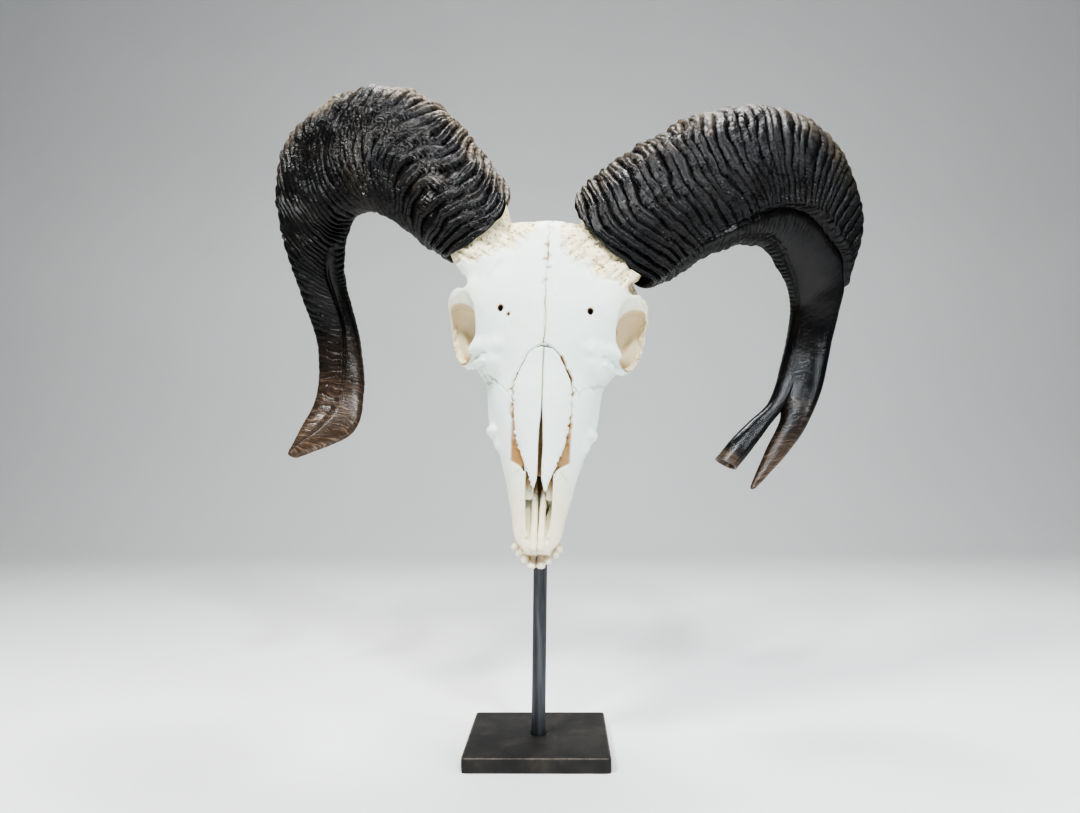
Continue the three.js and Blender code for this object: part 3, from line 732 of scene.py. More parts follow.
def horn_base(rows):
    """The frame of a horn's first section, the way on from it and the side that it is on."""
    frames = horn_frames(rows, np.linspace(0, 0.05, 3))
    follow = frames[CENTRE][-1] - frames[CENTRE][0]
    return [part[0] for part in frames], follow / np.linalg.norm(follow), np.sign(frames[CENTRE][0][0])


def apron(u):
    """How far the front of a sheath reaches down over the forehead, across its width."""
    return APRON * np.sqrt(np.clip(1 - u * u, 0, 1)) * (1 + 0.2 * u)


def whole_skull(low, high, step):
    half = Field((-2 * step, low[1], low[2]), high, step)
    for shape in (face_side, underside, openings):
        shape(half)
    whole = Field((-1, -1, -1), (1, 1, 1), step)
    whole.value = np.concatenate([half.value[:2:-1], half.value[2:]])
    whole.axes = [np.r_[-half.axes[0][:2:-1], half.axes[0][2:]], half.axes[1], half.axes[2]]
    whole.low = np.array([axis[0] for axis in whole.axes])
    return whole


STEP = 0.95
skull = whole_skull((0, -16, 14), (80, 124, 250), STEP)
for rows in (RIGHT_HORN, LEFT_HORN):
    section, follow, turn = horn_base(rows)
    horn_core(skull, section, np.array([turn * 32, 82, 172.0]), follow, CORE_SHARE, CORE_REACH, 6)
    inner_cut = [[turn * 53.8, 112, 144, 4], [turn * 59, 75, 165, 4.5], [turn * 63, 50, 179, 5]]
    outer_cut = [[turn * 62, 112, 146, 8], [turn * 68, 75, 168, 9], [turn * 72, 50, 182, 10]]
    bar(skull, inner_cut, 1, carve=True)
    bar(skull, outer_cut, 1, carve=True)
egg(skull, (-SMALL_HOLE[0], 99, SMALL_HOLE[1]), (1.2, 6, 1.3), 0.4, carve=True)
print("whole skull:", skull.value.shape)

# %% [markdown]
# Bones meet in seams. Each bone is the field cut by the region that it fills. The regions overlap by a hair,
# as the seams of a grown skull are closed, and each bone's edge is rounded, so that a seam is a fine groove
# in the surface rather than a painted line. Marks on the points then say where bone is porous or stained,
# and where shade is painted on it.

# %% Parting the bones
SEAM_GAP = -0.12
SEAM = np.array([[0, 118], [12, 106], [23, 90], [31, 97], [46, 108], [80, 114]], float)
NOSE_OUTLINE = [
    [32, 2.0], [36, 6.0], [49, 11.3], [60, 15.5], [67, 17.6], [78, 19.0], [91, 19.4], [98, 17.8], [104, 14.5],
    [110.5, 10.5], [113.8, 6.0], [115.2, 0.5],
]


def nose_half_width(z):
    edge = np.asarray(NOSE_OUTLINE, float)
    return np.interp(z, edge[:, 0], edge[:, 1], left=-9, right=-9)


def all_of(first, *others, soft=0.12):
    for other in others:
        first = -soft_min(-first, -other, soft)
    return first


def grid_noise(field, cut, size, seed):
    spots = np.stack(np.meshgrid(*(field.axes[k][cut[k]] for k in range(3)), indexing="ij"), -1)
    return soft_noise(spots, size, seed)


def bone(field, low, high, region):
    """The part of a field between two corners that lies in a region, as points and faces."""
    cut, x, h, z = field.window(low, high)
    piece = Field((0, 0, 0), (1, 1, 1), field.step)
    piece.axes = [field.axes[k][cut[k]] for k in range(3)]
    piece.low = np.array([axis[0] for axis in piece.axes])
    wave = grid_noise(field, cut, 4.5, 3)
    piece.value = all_of(field.value[cut], *[part + SEAM_GAP / 2 for part in region(x, h, z, wave)])
    piece.value = np.pad(piece.value, 1, constant_values=9)
    piece.low = piece.low - piece.step
    return skin(piece)


def behind_seam(x, h, z, wave):
    line = np.interp(np.abs(x), SEAM[:, 0], SEAM[:, 1])
    tooth_bed = np.maximum(z - 124, h - 26)
    return np.maximum(line + 2.4 * wave - z, -tooth_bed)


def before_seam(x, h, z, wave):
    return -behind_seam(x, h, z, wave)


def in_front(h, z, wave):
    return z - np.interp(h, [-12, 6, 40, 70], [24, 27, 47, 47]) + 0.6 * wave


def clear_of_nose(x, h, z, wave):
    ragged = 0.55 * ramp(-0.3, 0.6, wave) * ramp(108, 92, z)
    return 0.08 + np.minimum(nose_half_width(z) + ragged - np.abs(x), h - (face_height(z) - 6))


def side(x, sign, wave):
    return sign * (0.9 * wave - x)


def marks_of(points):
    """How porous and how stained the bone is at each point, where shade is painted and where the nose is tan.
    """
    x, h, z = np.abs(points[:, 0]), points[:, 1], points[:, 2]
    collar = np.zeros(len(points))
    for rows in (RIGHT_HORN, LEFT_HORN):
        (centre, across, back, width, depth), follow, turn = horn_base(rows)
        local = points - centre
        u = np.clip(local @ across / (width / 2), -1.2, 1.2)
        beyond = -(local @ follow) - apron(np.clip(u, -1, 1)) * (local @ back < 6)
        near = ramp(22, 13, beyond + 4 * soft_noise(points, 9, 4) + 2 * soft_noise(points, 3, 5))
        collar = np.maximum(collar, near * ramp(-60, -50, -beyond) * (turn * points[:, 0] > 8))
    ball = np.sqrt(sum(((place - middle) / radius) ** 2
                       for place, middle, radius in zip((x, h, z), SOCKET_CENTRE, SOCKET_RADII)))
    socket = ramp(1.08, 1.03, ball) * ramp(86, 80, h)
    # Painted shade in the eye socket, darker towards its lower, nose-side part.
    shaded = 0.38 + 0.62 * ramp(128, 119, z + 0.25 * (h - 45) + 1.5 * soft_noise(points, 6, 31))
    socket_shade_and_nose_tan = shaded * socket * (1 - rim_share(points, 2.5, 1.9))
    reach = np.interp(z, [30, 44, 47.5, 52], [9.3, 10.3, 13.5, 20.0])
    depth = face_height(np.clip(z, 0, 219)) - h
    inside = ramp(-2.5, -6, -depth) * ramp(0.4, -1.2, x - reach) * ramp(118, 90, z)
    # Inside the nose the same mark gives the bone its own tan.
    socket_shade_and_nose_tan = np.maximum(socket_shade_and_nose_tan, inside * ramp(30, 40, z) * ramp(3, 8, h))
    seam = np.abs(np.interp(x, SEAM[:, 0], SEAM[:, 1]) - z)
    beside_nose = np.abs(nose_half_width(z) - x) + 20 * (z > 112) + 20 * (z < 44)
    spots = ramp(-0.1, 0.45, soft_noise(points, 2.2, 5) + 0.5 * soft_noise(points, 5, 15))
    middle = np.abs(points[:, 0] + 0.9 * soft_noise(points, 5, 9))
    crown = ramp(0.3, 0.8, soft_noise(points, 2.4, 19)) * ramp(4.5, 1.0, middle) * ramp(140, 150, z)
    stain_and_hole_shade = np.maximum(ramp(1.2, 0.2, seam) * 0.04, 0.8 * ramp(2.6, 0.4, beside_nose) * spots)
    suture = 0.4 * ramp(0.9, 0.1, middle) * ramp(112, 118, z) * ramp(150, 135, z)
    stain_and_hole_shade = np.maximum(stain_and_hole_shade, np.maximum(0.6 * crown, suture))
    for centre, size, amount in (((48.5, 56, 139), 6.5, 0.62), ((47, 66, 135), 6, 0.6)):
        far = np.linalg.norm(np.stack([x, h, z], -1) - centre, axis=1)
        stain_and_hole_shade = np.maximum(stain_and_hole_shade, ramp(size, 0.5 * size, far) * amount)
    one_side = points[:, 0] < 0
    # Painted shade: below the surface the nerve holes are marked full, which turns them near black.
    for hole, size, here in ((NERVE_HOLE, 2.2, True), (SMALL_HOLE, 1.3, one_side)):
        far = np.hypot(x - hole[0], z - hole[1])
        stain_and_hole_shade = np.maximum(stain_and_hole_shade, ramp(size, 0.7 * size, far) * ramp(0.3, 1.6, depth) * here * (h > 60))
    cream = np.maximum(ramp(60, 20, z) * ramp(24, 16, x) * 0.85, ramp(170, 196, z) * 0.35 * (h > 90))
    cream = np.maximum(cream, ramp(40, 52, x) * ramp(112, 125, z) * ramp(170, 150, z) * 0.3)
    cream = np.maximum(cream, socket)
    return {"rough": collar, "socket_shade_and_nose_tan": socket_shade_and_nose_tan, "stain_and_hole_shade": np.clip(stain_and_hole_shade, 0, 1), "cream": cream}


def weather(points, quads, collar):
    """Gentle unevenness everywhere, and pits and grooves where the bone is porous."""
    normal = normals_of(points, quads)
    swell = 0.35 * rough_noise(points, 22, 3, 1) + 0.1 * soft_noise(points, 3.2, 2)
    side_of = np.sign(points[:, :1])
    flow = np.c_[0.72 * side_of, 0 * side_of, 0.69 + 0 * side_of]
    drawn = points - 0.72 * flow * (points * flow).sum(1, keepdims=True)
    grooves = ramp(0.05, 0.5, soft_noise(drawn, 1.9, 6)) + 0.8 * ramp(0.1, 0.55, soft_noise(drawn, 3.6, 8))
    frill = soft_noise(points, 2.0, 23) * ramp(0.6, 1.0, rim_share(points))
    beside_nose = ramp(2.4, 0.6, np.abs(nose_half_width(points[:, 2]) - np.abs(points[:, 0])))
    torn = (ramp(0.1, 0.6, soft_noise(points, 1.7, 27)) - 0.3) * beside_nose * ramp(108, 90, points[:, 2])
    return points + normal * (0.8 * swell - 1.9 * collar * grooves + 0.9 * frill - 1.1 * torn)[:, None]


def rim_share(points, outside=3.4, within=2.3):
    """1 on the lower rim of the eye socket, falling to 0 a little way off it."""
    path = along(LOWER_RIM, 24)[:, :3]
    spots = np.abs(points) * [1, 0, 0] + points * [0, 1, 1]
    share = np.zeros(len(points))
    near = (spots[:, 0] > 40) & (spots[:, 2] > 105) & (spots[:, 2] < 158)
    gap = np.linalg.norm(spots[near][:, None] - path[None], axis=2).min(1)
    share[near] = ramp(outside, within, gap)
    return share


def bone_piece(name, node, material, net):
    points, quads = net
    marks = marks_of(points)
    points = weather(points, quads, marks["rough"])
    return new_piece(name, points, quads, material, node, marks)


print("regions ready")

# %% [markdown]
# The cranium is parted as in life: two frontal bones that meet in a zigzag down the middle of the forehead,
# and behind and below them the rest, with the eye sockets' lower rims, the ear region and the nape.

# %% Cranium
FRONTAL_FLOOR = 60


def frontal(sign):
    def region(x, h, z, wave):
        return [behind_seam(x, h, z, wave), clear_of_nose(x, h, z, wave), side(x, sign, wave),
                FRONTAL_FLOOR + 1.2 * wave - h]
    return region


def below_frontals(x, h, z, wave):
    return [behind_seam(x, h, z, wave), h - FRONTAL_FLOOR - 1.2 * wave]


for name, sign in (("frontal_left", 1), ("frontal_right", -1)):
    corner = (-2, 55, 84) if sign > 0 else (-102, 55, 84)
    end = (102, 124, 250) if sign > 0 else (2, 124, 250)
    bone_piece(name, "cranium", BONE, bone(skull, corner, end, frontal(sign)))
bone_piece("skull_base", "cranium", BONE,
           bone(skull, (-102, -16, 84), (102, 66, 250), below_frontals))

# %% [markdown]
# In front of the seam the upper jaw carries the cheek teeth, and the two incisive bones frame the opening
# of the nose. The incisive bones are the finest of them, so they are cut from a finer lattice of the same
# shapes, where the thin slit of the palate can be cut too. Their surfaces still run on into the upper jaw.

# %% Upper jaw
def upper_jaw(x, h, z, wave):
    return [before_seam(x, h, z, wave), clear_of_nose(x, h, z, wave), -in_front(h, z, wave)]


def incisive(sign):
    def region(x, h, z, wave):
        return [in_front(h, z, wave), clear_of_nose(x, h, z, wave), -sign * x]
    return region


bone_piece("upper_jaw_bone", "upper_jaw", BONE,
           bone(skull, (-60, -16, 18), (60, 110, 130), upper_jaw))
muzzle = whole_skull((0, -16, -6), (34, 56, 56), 0.65)
bar(muzzle, [[3.9, 9, 19, 0.4], [7.6, 12, 33, 1.2]], 0.4, stretch=(1, 8, 1), carve=True)
for name, sign in (("incisive_bone_left", 1), ("incisive_bone_right", -1)):
    corner, end = ((-2, -16, -8), (40, 60, 56)) if sign > 0 else ((-40, -16, -8), (2, 60, 56))
    bone_piece(name, "incisive_left" if sign > 0 else "incisive_right", BONE,
               bone(muzzle, corner, end, incisive(sign)))

# %% [markdown]
# The two nasal bones roof the nose. Each is a thin arched leaf with a free pointed tip. Leaves this thin
# need a finer lattice, and a field of their own because the nose is hollow under them.

# %% Nasal bones
NOSE_STEP = 0.7
NASAL_LEAF = [
    [32.6, 4.2], [36, 5.2], [39, 6.3], [49, 11.0], [60, 15.2], [67, 17.3], [78, 18.7], [91, 19.1], [98, 17.5],
    [104, 14.2], [110.5, 10.2], [113.6, 6.0], [114.6, 0.04], [104, 0.03], [90, 0.04], [80, 0.3], [70, 1.1],
    [60, 1.5], [50, 1.3], [41, 1.4], [36, 2.8],
]
roof = Field((-2, 20, 28), (24, 96, 122), NOSE_STEP)
body(roof, FACE, 0.5)
cut, x, h, z = roof.window((-2, 20, 28), (24, 96, 122))
leaf = outline_distance(x[:, 0, :], z[0], [[b, a] for a, b in NASAL_LEAF])[:, None, :]
height = face_height(z) - 3.4
arch = 0.9 * np.cos((x - 9) / 18 * math.pi)
roof.value = all_of(roof.value - 0.3 * arch, leaf + 0.02, height - 0.06 * (x - 6) ** 2 - h, soft=1.4)
points, quads = skin(roof)
for name, sign in (("nasal_bone_left", 1), ("nasal_bone_right", -1)):
    place = points * [sign, 1, 1]
    marks = marks_of(place)
    marks["socket_shade_and_nose_tan"] = marks["socket_shade_and_nose_tan"] * 0
    marks["stain_and_hole_shade"] = 0.35 * ramp(0.9, 0.1, np.abs(place[:, 0])) * ramp(70, 100, place[:, 2])
    marks["cream"] = marks["cream"] * 0
    new_piece(name, weather(place, quads, 0), quads, BONE, "nasal_left" if sign > 0 else "nasal_right",
              marks)

# %% [markdown]
# Each half of the lower jaw is a deep beam that sweeps out and back, then stands up as a thin plate with
# the hook of the muscle at its top and the joint behind it. The two halves meet only at the chin.

# %% Lower jaw
JAW = [
    [-2, 0.15, 9, -3, -9], [6, 0.15, 12, -2, -13], [17, 0.15, 12, -3, -19], [31, 0.15, 11.5, -5, -23.5],
    [40, 1.5, 13, -7, -24.5], [50, 8, 18, -13, -28], [62, 13, 23, -15, -34], [80, 17, 28, -15, -41],
    [100, 20, 31, -15, -47], [120, 25, 36, -14, -53], [138, 31, 41, -9, -59],
]
RAMUS = [
    [124, -12], [139, 0], [148, 20], [157, 41], [165, 52], [172, 51], [175, 36], [180, 25], [187, 23],
    [193, 18], [192, 6], [197, -10], [202, -34], [197, -54], [185, -65], [165, -65], [142, -61], [124, -52],
]
jaw = Field((-1, -72, -8), (62, 60, 210), STEP)
cut, x, h, z = jaw.window((-1, -72, -8), (62, 60, 146))
inner, outer, upper, lower = (column[None, None, :] for column in track(JAW)(np.clip(z[0, 0], -2, 138)).T)
u = (x - (inner + outer) / 2) / ((outer - inner) / 2)
v = (h - (upper + lower) / 2) / ((upper - lower) / 2)
r = (np.abs(u) ** 2.9 + np.abs(v) ** 2.6) ** (1 / 2.7) + 1e-6
reach = np.hypot(x - (inner + outer) / 2, h - (upper + lower) / 2)
jaw.add(cut, np.maximum(reach * (1 - 1 / r), np.maximum(-2 - z, z - 138)).astype(np.float32), 0.5)
edge = along([[a, b, 0] for a, b in RAMUS + RAMUS[:1]], 70)[:-1, :2]
plate(jaw, edge, lambda h, z: 35 + 0.2 * (z - 124) + 0.02 * (h + 8), 2.6, 5)
bar(jaw, [[33, -14, 128, 3], [38, 10, 147, 3], [41, 40, 160, 2.8], [42, 50, 167, 2.4]], 3)
bar(jaw, [[37, -60, 150, 3.2], [44, -64, 175, 3.6], [47, -54, 195, 3.2], [46, -30, 199, 3]], 3)
bar(jaw, [[40, 19, 187, 4], [46, 18.5, 187, 3.4], [53, 20, 188, 4]], 3, steps=8)
egg(jaw, (36, -20, 152), (3.4, 4, 5), 1.5, carve=True)
egg(jaw, (14, -15, 34), (5, 2, 3), 0.8, carve=True)
jaw.value[:, :, :] = np.maximum(jaw.value, SEAM_GAP / 2 - jaw.axes[0].astype(np.float32)[:, None, None])
points, quads = skin(jaw)
for name, sign in (("jaw_left", 1), ("jaw_right", -1)):
    place = points * [sign, 1, 1]
    porous = ramp(6, 0, np.abs(place[:, 1] + 14)) * ramp(45, 60, place[:, 2]) * ramp(135, 120, place[:, 2])
    marks = {"rough": 0.4 * porous, "socket_shade_and_nose_tan": 0 * porous, "cream": 0.4 + 0 * porous,
             "stain_and_hole_shade": np.clip(0.12 + 0.2 * rough_noise(place, 30, 2, 3), 0, 0.5)}
    new_piece(name, weather(place, quads, 0.3 * porous), quads, JAW_BONE,
              "mandible_left" if sign > 0 else "mandible_right", marks)

# %% [markdown]
# Teeth repeat, so each kind is made once and Geometry Nodes sets it out. A small mesh of single points says
# where the teeth stand; each point carries a turn and a size that the nodes read back. The nodes end by
# making the copies real and giving them their enamel.

# %% Enamel
def enamel_material():
    g = Graph("enamel", Specular_IOR_Level=0.5, Coat_Weight=0.15, Coat_Roughness=0.25)
    cloud = g.noise(160.0, 4.0, 0.55)
    streak = g.noise(900.0, 3.0, 0.6, g.scaled(g.place(), (1.0, 1.0, 0.18)))
    neck = g.mark("neck")
    base = g.mix(cloud, (0.76, 0.68, 0.5, 1), (0.84, 0.8, 0.68, 1))
    base = g.mix(streak.ramp(0.5, 0.7) * 0.45, base, (0.6, 0.46, 0.26, 1))
    base = g.mix(neck, base, (0.42, 0.27, 0.11, 1))
    return g.finish(Base_Color=base, Roughness=0.3 + cloud * 0.25, Normal=g.bump(streak, 0.25, 0.0003))


ENAMEL = enamel_material()


def tube_quads(count, around):
    """The faces of a tube of count rings with around points each."""
    i, j = np.meshgrid(np.arange(count - 1), np.arange(around), indexing="ij")
    onward = (j + 1) % around
    corners = [i * around + j, i * around + onward, (i + 1) * around + onward, (i + 1) * around + j]
    return np.stack(corners, -1).reshape(-1, 4)


def swept(path, rings, sides):
    """Points and faces of a closed tube: path(t, angle) gives each point, ends are drawn to a point."""
    t = np.asarray(rings, float)[:, None]
    angle = np.linspace(0, 2 * math.pi, sides, endpoint=False)[None, :]
    points = path(t, angle).reshape(-1, 3)
    first = points[:sides].mean(0)
    last = points[-sides:].mean(0)
    low, high = len(points), len(points) + 1
    tail = (len(t) - 1) * sides
    faces = list(tube_quads(len(t), sides)) + [np.array([low, (k + 1) % sides, k]) for k in range(sides)]
    faces += [np.array([high, tail + k, tail + (k + 1) % sides]) for k in range(sides)]
    return np.vstack([points, first, last]), faces


print("material:", ENAMEL.name)

# %% [markdown]
# A tooth is a closed tube whose section changes on its way up. A front tooth is a spade, and a cheek tooth
# is two lobes worn into crescents on top. A mark says where the neck is, so the enamel can turn brown there.

# %% Tooth shapes
def incisor_shape(t, angle):
    """A spade: a round root, a narrow neck and a broad, thin, slightly cupped crown."""
    rounded = np.sqrt(np.clip(1 - (np.clip(t - 0.79, 0, 1) / 0.212) ** 2, 0, 1))
    broad = (2.1 + 1.0 * ramp(0.4, 0.8, t)) * rounded
    thick = (2.2 + 0.5 * ramp(0.5, 0.85, t)) * rounded
    s, c = np.sin(angle), np.cos(angle)
    x = broad * np.sign(s) * np.abs(s) ** 0.8
    h = thick * c - 0.25 * (x ** 2) / 2.5 * t + 2.2 * t * t
    return np.stack([x + 0 * t, h + 0 * x, -13.5 * t + 0 * x], -1)


def molar_shape(t, angle):
    """Two lobes side by side, ribbed down the cheek side and worn into two crescents on top."""
    s, c = np.sin(angle), np.cos(angle)
    lobes = 1 - 0.17 * np.abs(np.sin(angle)) ** 8 - 0.05 * np.cos(6 * angle)
    x = 5.0 * np.sign(s) * np.abs(s) ** 0.75 * lobes * (1 - 0.1 * t)
    z = 5.9 * np.sign(c) * np.abs(c) ** 0.6 * (1 - 0.05 * t)
    rise = 15.0 * t + np.where(t > 0.93, 1.0 * np.cos(2 * angle) + 0.8 * s, 0)
    return np.stack([x, rise + 0 * x, z], -1)


def tooth_object(name, shape, rings, neck):
    points, faces = swept(shape, rings, 28)
    t = np.r_[np.repeat(rings, 28), rings[0], rings[-1]]
    mesh = bpy.data.meshes.new(name)
    points = points * [1, -1, 1] / 1000.0
    mesh.from_pydata([tuple(p) for p in points], [], [tuple(int(k) for k in f) for f in faces])
    mesh.shade_smooth()
    layer = mesh.attributes.new("neck", "FLOAT", "POINT")
    layer.data.foreach_set("value", (0.6 * ramp(neck + 0.12, neck, t)).astype(np.float32))
    return bpy.data.objects.new(name, mesh)


CROWN = np.r_[np.linspace(0, 0.9, 14), 0.94, 0.97, 0.99, 1.0]
INCISOR = tooth_object("incisor_pattern", incisor_shape, CROWN, 0.6)
MOLAR = tooth_object("molar_pattern", molar_shape, np.r_[CROWN[:-1], 0.995], 0.3)
print("tooth patterns:", len(INCISOR.data.vertices), "and", len(MOLAR.data.vertices), "points")

# %% [markdown]
# The node tree takes the stations, a tooth and the enamel by name. It puts a copy on each station, turned
# and sized by what the station carries, then makes the copies real and paints them. The small random turns
# come from one seeded source, since no row of teeth stands quite straight.

# %% Teeth set out by nodes
def tooth_nodes():
    tree = bpy.data.node_groups.new("set_out_teeth", "GeometryNodeTree")
    face = tree.interface
    face.new_socket("Stations", in_out="INPUT", socket_type="NodeSocketGeometry")
    face.new_socket("Tooth", in_out="INPUT", socket_type="NodeSocketObject")
    face.new_socket("Enamel", in_out="INPUT", socket_type="NodeSocketMaterial")
    face.new_socket("Teeth", in_out="OUTPUT", socket_type="NodeSocketGeometry")
    add, link = tree.nodes.new, tree.links.new
    source, result = add("NodeGroupInput"), add("NodeGroupOutput")
    tooth = add("GeometryNodeObjectInfo")
    turn, size = add("GeometryNodeInputNamedAttribute"), add("GeometryNodeInputNamedAttribute")
    turn.data_type = size.data_type = "FLOAT_VECTOR"
    turn.inputs["Name"].default_value, size.inputs["Name"].default_value = "turn", "size"
    place, real, paint = (add("GeometryNodeInstanceOnPoints"), add("GeometryNodeRealizeInstances"),
                          add("GeometryNodeSetMaterial"))
    link(source.outputs["Stations"], place.inputs["Points"])
    link(source.outputs["Tooth"], tooth.inputs["Object"])
    link(tooth.outputs["Geometry"], place.inputs["Instance"])
    link(turn.outputs["Attribute"], place.inputs["Rotation"])
    link(size.outputs["Attribute"], place.inputs["Scale"])
    link(place.outputs["Instances"], real.inputs["Geometry"])
    link(real.outputs["Geometry"], paint.inputs["Geometry"])
    link(source.outputs["Enamel"], paint.inputs["Material"])
    link(paint.outputs["Geometry"], result.inputs["Teeth"])
    return tree


TOOTH_NODES = tooth_nodes()
TO_ROOM = Matrix((HANG @ np.diag([1.0, -1.0, 1.0])).tolist())


def set_out(name, pattern, stations, nodes):
    """Each station is a place, a turn in degrees and a size, all on the skull's axes with h turned over."""
    mesh = bpy.data.meshes.new(name)
    mesh.from_pydata([tuple(to_room(place)) for place, _, _ in stations], [], [])
    turns = []
    for _, turn, _ in stations:
        euler = Euler([math.radians(a) for a in turn])
        turns.append((TO_ROOM @ euler.to_matrix()).to_euler())
    for mark, values in (("turn", turns), ("size", [size for _, _, size in stations])):
        layer = mesh.attributes.new(mark, "FLOAT_VECTOR", "POINT")
        layer.data.foreach_set("vector", np.asarray(values, np.float32).ravel())
    holder = bpy.data.objects.new(name + "_stations", mesh)
    bpy.context.scene.collection.objects.link(holder)
    step = holder.modifiers.new("set_out", "NODES")
    step.node_group = TOOTH_NODES
    sockets = {item.name: item.identifier for item in TOOTH_NODES.interface.items_tree}
    step[sockets["Tooth"]] = pattern
    step[sockets["Enamel"]] = ENAMEL
    bpy.context.view_layer.update()
    ready = holder.evaluated_get(bpy.context.evaluated_depsgraph_get())
    made = bpy.data.meshes.new_from_object(ready)
    holder.modifiers.clear()
    bpy.data.objects.remove(holder)
    piece = bpy.data.objects.new(name, made)
    bpy.context.scene.collection.objects.link(piece)
    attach(piece, "root")
    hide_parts(*nodes)
    print(f"{name}: {len(stations)} teeth, {len(made.vertices)} points")
    return piece


jaw_at, tooth_rng = track(JAW), np.random.default_rng(11)
front = []
for sign in (1, -1):
    for i, (x, z, fan) in enumerate(((2.5, 1.7, 3), (5.6, 5.0, 12), (8.2, 8.9, 22), (9.9, 12.7, 30))):
        turn = (tooth_rng.uniform(-3, 3), -sign * (fan + tooth_rng.uniform(-3, 3)), sign * (6 + 5 * i))
        front.append(((sign * x - 0.5, -6.4 - 0.3 * i, z), turn, (1.05 - 0.03 * i, 1.0, 0.98)))
set_out("incisor_teeth", INCISOR, front, ["mandible_left", "mandible_right"])

CHEEK_TEETH, FIRST_TOOTH, TOOTH_PITCH = 6, 53, 12.4
upper, lower = [], []
for sign in (1, -1):
    for i in range(CHEEK_TEETH):
        z = FIRST_TOOTH + TOOTH_PITCH * i
        inner_x, outer_x = jaw_at(z)[:2]
        wide = (9 + 0.9 * i) / 10
        jitter = tooth_rng.uniform(-2, 2, 3)
        upper.append(((sign * (19 + 0.12 * (z - 50)), 8, z), jitter + [0, 0, 180], (wide, 1.0, 1.0)))
        lower.append(((sign * (inner_x + outer_x) / 2, -25.5, z), jitter, (wide * 0.85, 1.0, 1.0)))
set_out("upper_cheek_teeth", MOLAR, upper, ["upper_jaw"])
set_out("lower_cheek_teeth", MOLAR, lower, ["mandible_left", "mandible_right"])

# %% [markdown]
# Horn is keratin: nearly black, dense and glossy where it has been rubbed, with dust caught on its ribs and
# brown where it thins towards the tip. The mesh carries how far along and around each point lies, so the
# fine growth lines can follow the horn round its bends. Hardly any light comes back out of the narrow
# valleys between the ribs, so there the shader is mixed with a black that does not shine.

# %% Horn material
def horn_material():
    g = Graph("horn", Specular_IOR_Level=0.4)
    place, ring_x, ring_y, ribbed = g.mark("place"), g.mark("ring_x"), g.mark("ring_y"), g.mark("ribbed")
    dust, tip, polish, crest = g.mark("dust"), g.mark("tip"), g.mark("polish"), g.mark("crest")

    def grid(lengthwise, around):
        inputs = {"X": place * lengthwise, "Y": ring_x * around, "Z": ring_y * around}
        return g.node("ShaderNodeCombineXYZ", inputs).outputs[0]

    growth = g.noise(0.9, 6.0, 0.68, grid(1.1, 0.06))
    wrinkle = g.noise(0.95, 4.0, 0.6, grid(0.3, 0.6))
    cloud = g.noise(45.0, 4.0, 0.6)
    fine = g.noise(800.0, 3.0, 0.6)
    base = g.mix(cloud.ramp(0.35, 0.7), (0.004, 0.0038, 0.0045, 1), (0.010, 0.0085, 0.0075, 1))
    base = g.mix(growth.ramp(0.55, 0.75) * 0.2, base, (0.03, 0.022, 0.016, 1))
    base = g.mix(dust * (0.25 + wrinkle.ramp(0.35, 0.6) * 0.75), base, (0.32, 0.25, 0.17, 1))
    base = g.mix(tip * (0.25 + growth * 0.55), base, (0.11, 0.07, 0.045, 1))
    base = g.mix(tip * growth.ramp(0.5, 0.64) * 0.6, base, (0.27, 0.19, 0.13, 1))
    normal = g.bump(growth, 0.25, 0.0008)
    normal = g.bump(wrinkle * (0.12 + ribbed * 0.88), 0.55, 0.002, normal)
    normal = g.bump(fine, 0.06, 0.0002, normal)
    rough = 0.2 - crest * 0.05 + growth * 0.08 + dust * 0.5 - polish * 0.03
    # Painted shade: the valleys between the ribs and the troughs of the fine wrinkles are mixed with a black
    # that does not shine.
    valley = (1 - crest).ramp(0.45, 0.95) * ribbed * 0.92
    g.darken((valley + (0.5 - wrinkle).ramp(0.02, 0.12) * ribbed * 0.4).low(1.0))
    return g.finish(Base_Color=base, Roughness=rough, Normal=normal)


HORN = horn_material()
print("material:", HORN.name)

# %% [markdown]
# A horn grows a ring at a time, each pushed out by the next, so its ribs run round it, crowd together on
# the inner side of the bend and spread on the outer side. The sweep makes that happen by itself, since
# each section is a fan's rib. What is left to state is how wide each ring grew, how far its ribs waver, the
# line that a few of them take across the horn, and the keel: the edge where the ribbed face overhangs the
# smooth one. The ribs between the stated ones are blended from their neighbours.

# %% Horn surface
def ring_edges(length, rng, pitch):
    """Where each ring starts along the horn, and how strongly each one grew."""
    edges, pitch_at = [-140.0], track(pitch)
    while edges[-1] < length + 60:
        edges.append(edges[-1] + float(pitch_at(edges[-1])[0]) * rng.uniform(0.75, 1.3))
    return np.array(edges), rng.uniform(0.65, 1.15, len(edges))


def rib_profile(place, edges, heights):
    """A ring's section: a round rope between two narrow valleys, creased along its middle near the base."""
    number = np.arange(len(edges))
    phase = np.interp(place.ravel(), edges, number)
    grown = np.interp(phase + 0.5, number, heights).reshape(place.shape)
    p = (phase - np.floor(phase)).reshape(place.shape) ** 0.85
    rope = np.sin(math.pi * p) ** 0.8
    crease = 0.45 * np.exp(-((p - 0.4) / 0.07) ** 2) * ramp(190, 60, place)
    rope = rope - crease
    return rope, rope * (0.4 + 0.6 * grown)


def lean_of(lean, length, u):
    """How far up the horn a rib lies at u, blended between a few ribs stated along the horn."""
    at = [where for where, _ in lean]
    shift = np.stack([track(rows)(np.ravel(u))[:, 0] for _, rows in lean])
    share = np.stack([np.interp(length, at, row) for row in np.eye(len(at))], -1)
    return share @ shift


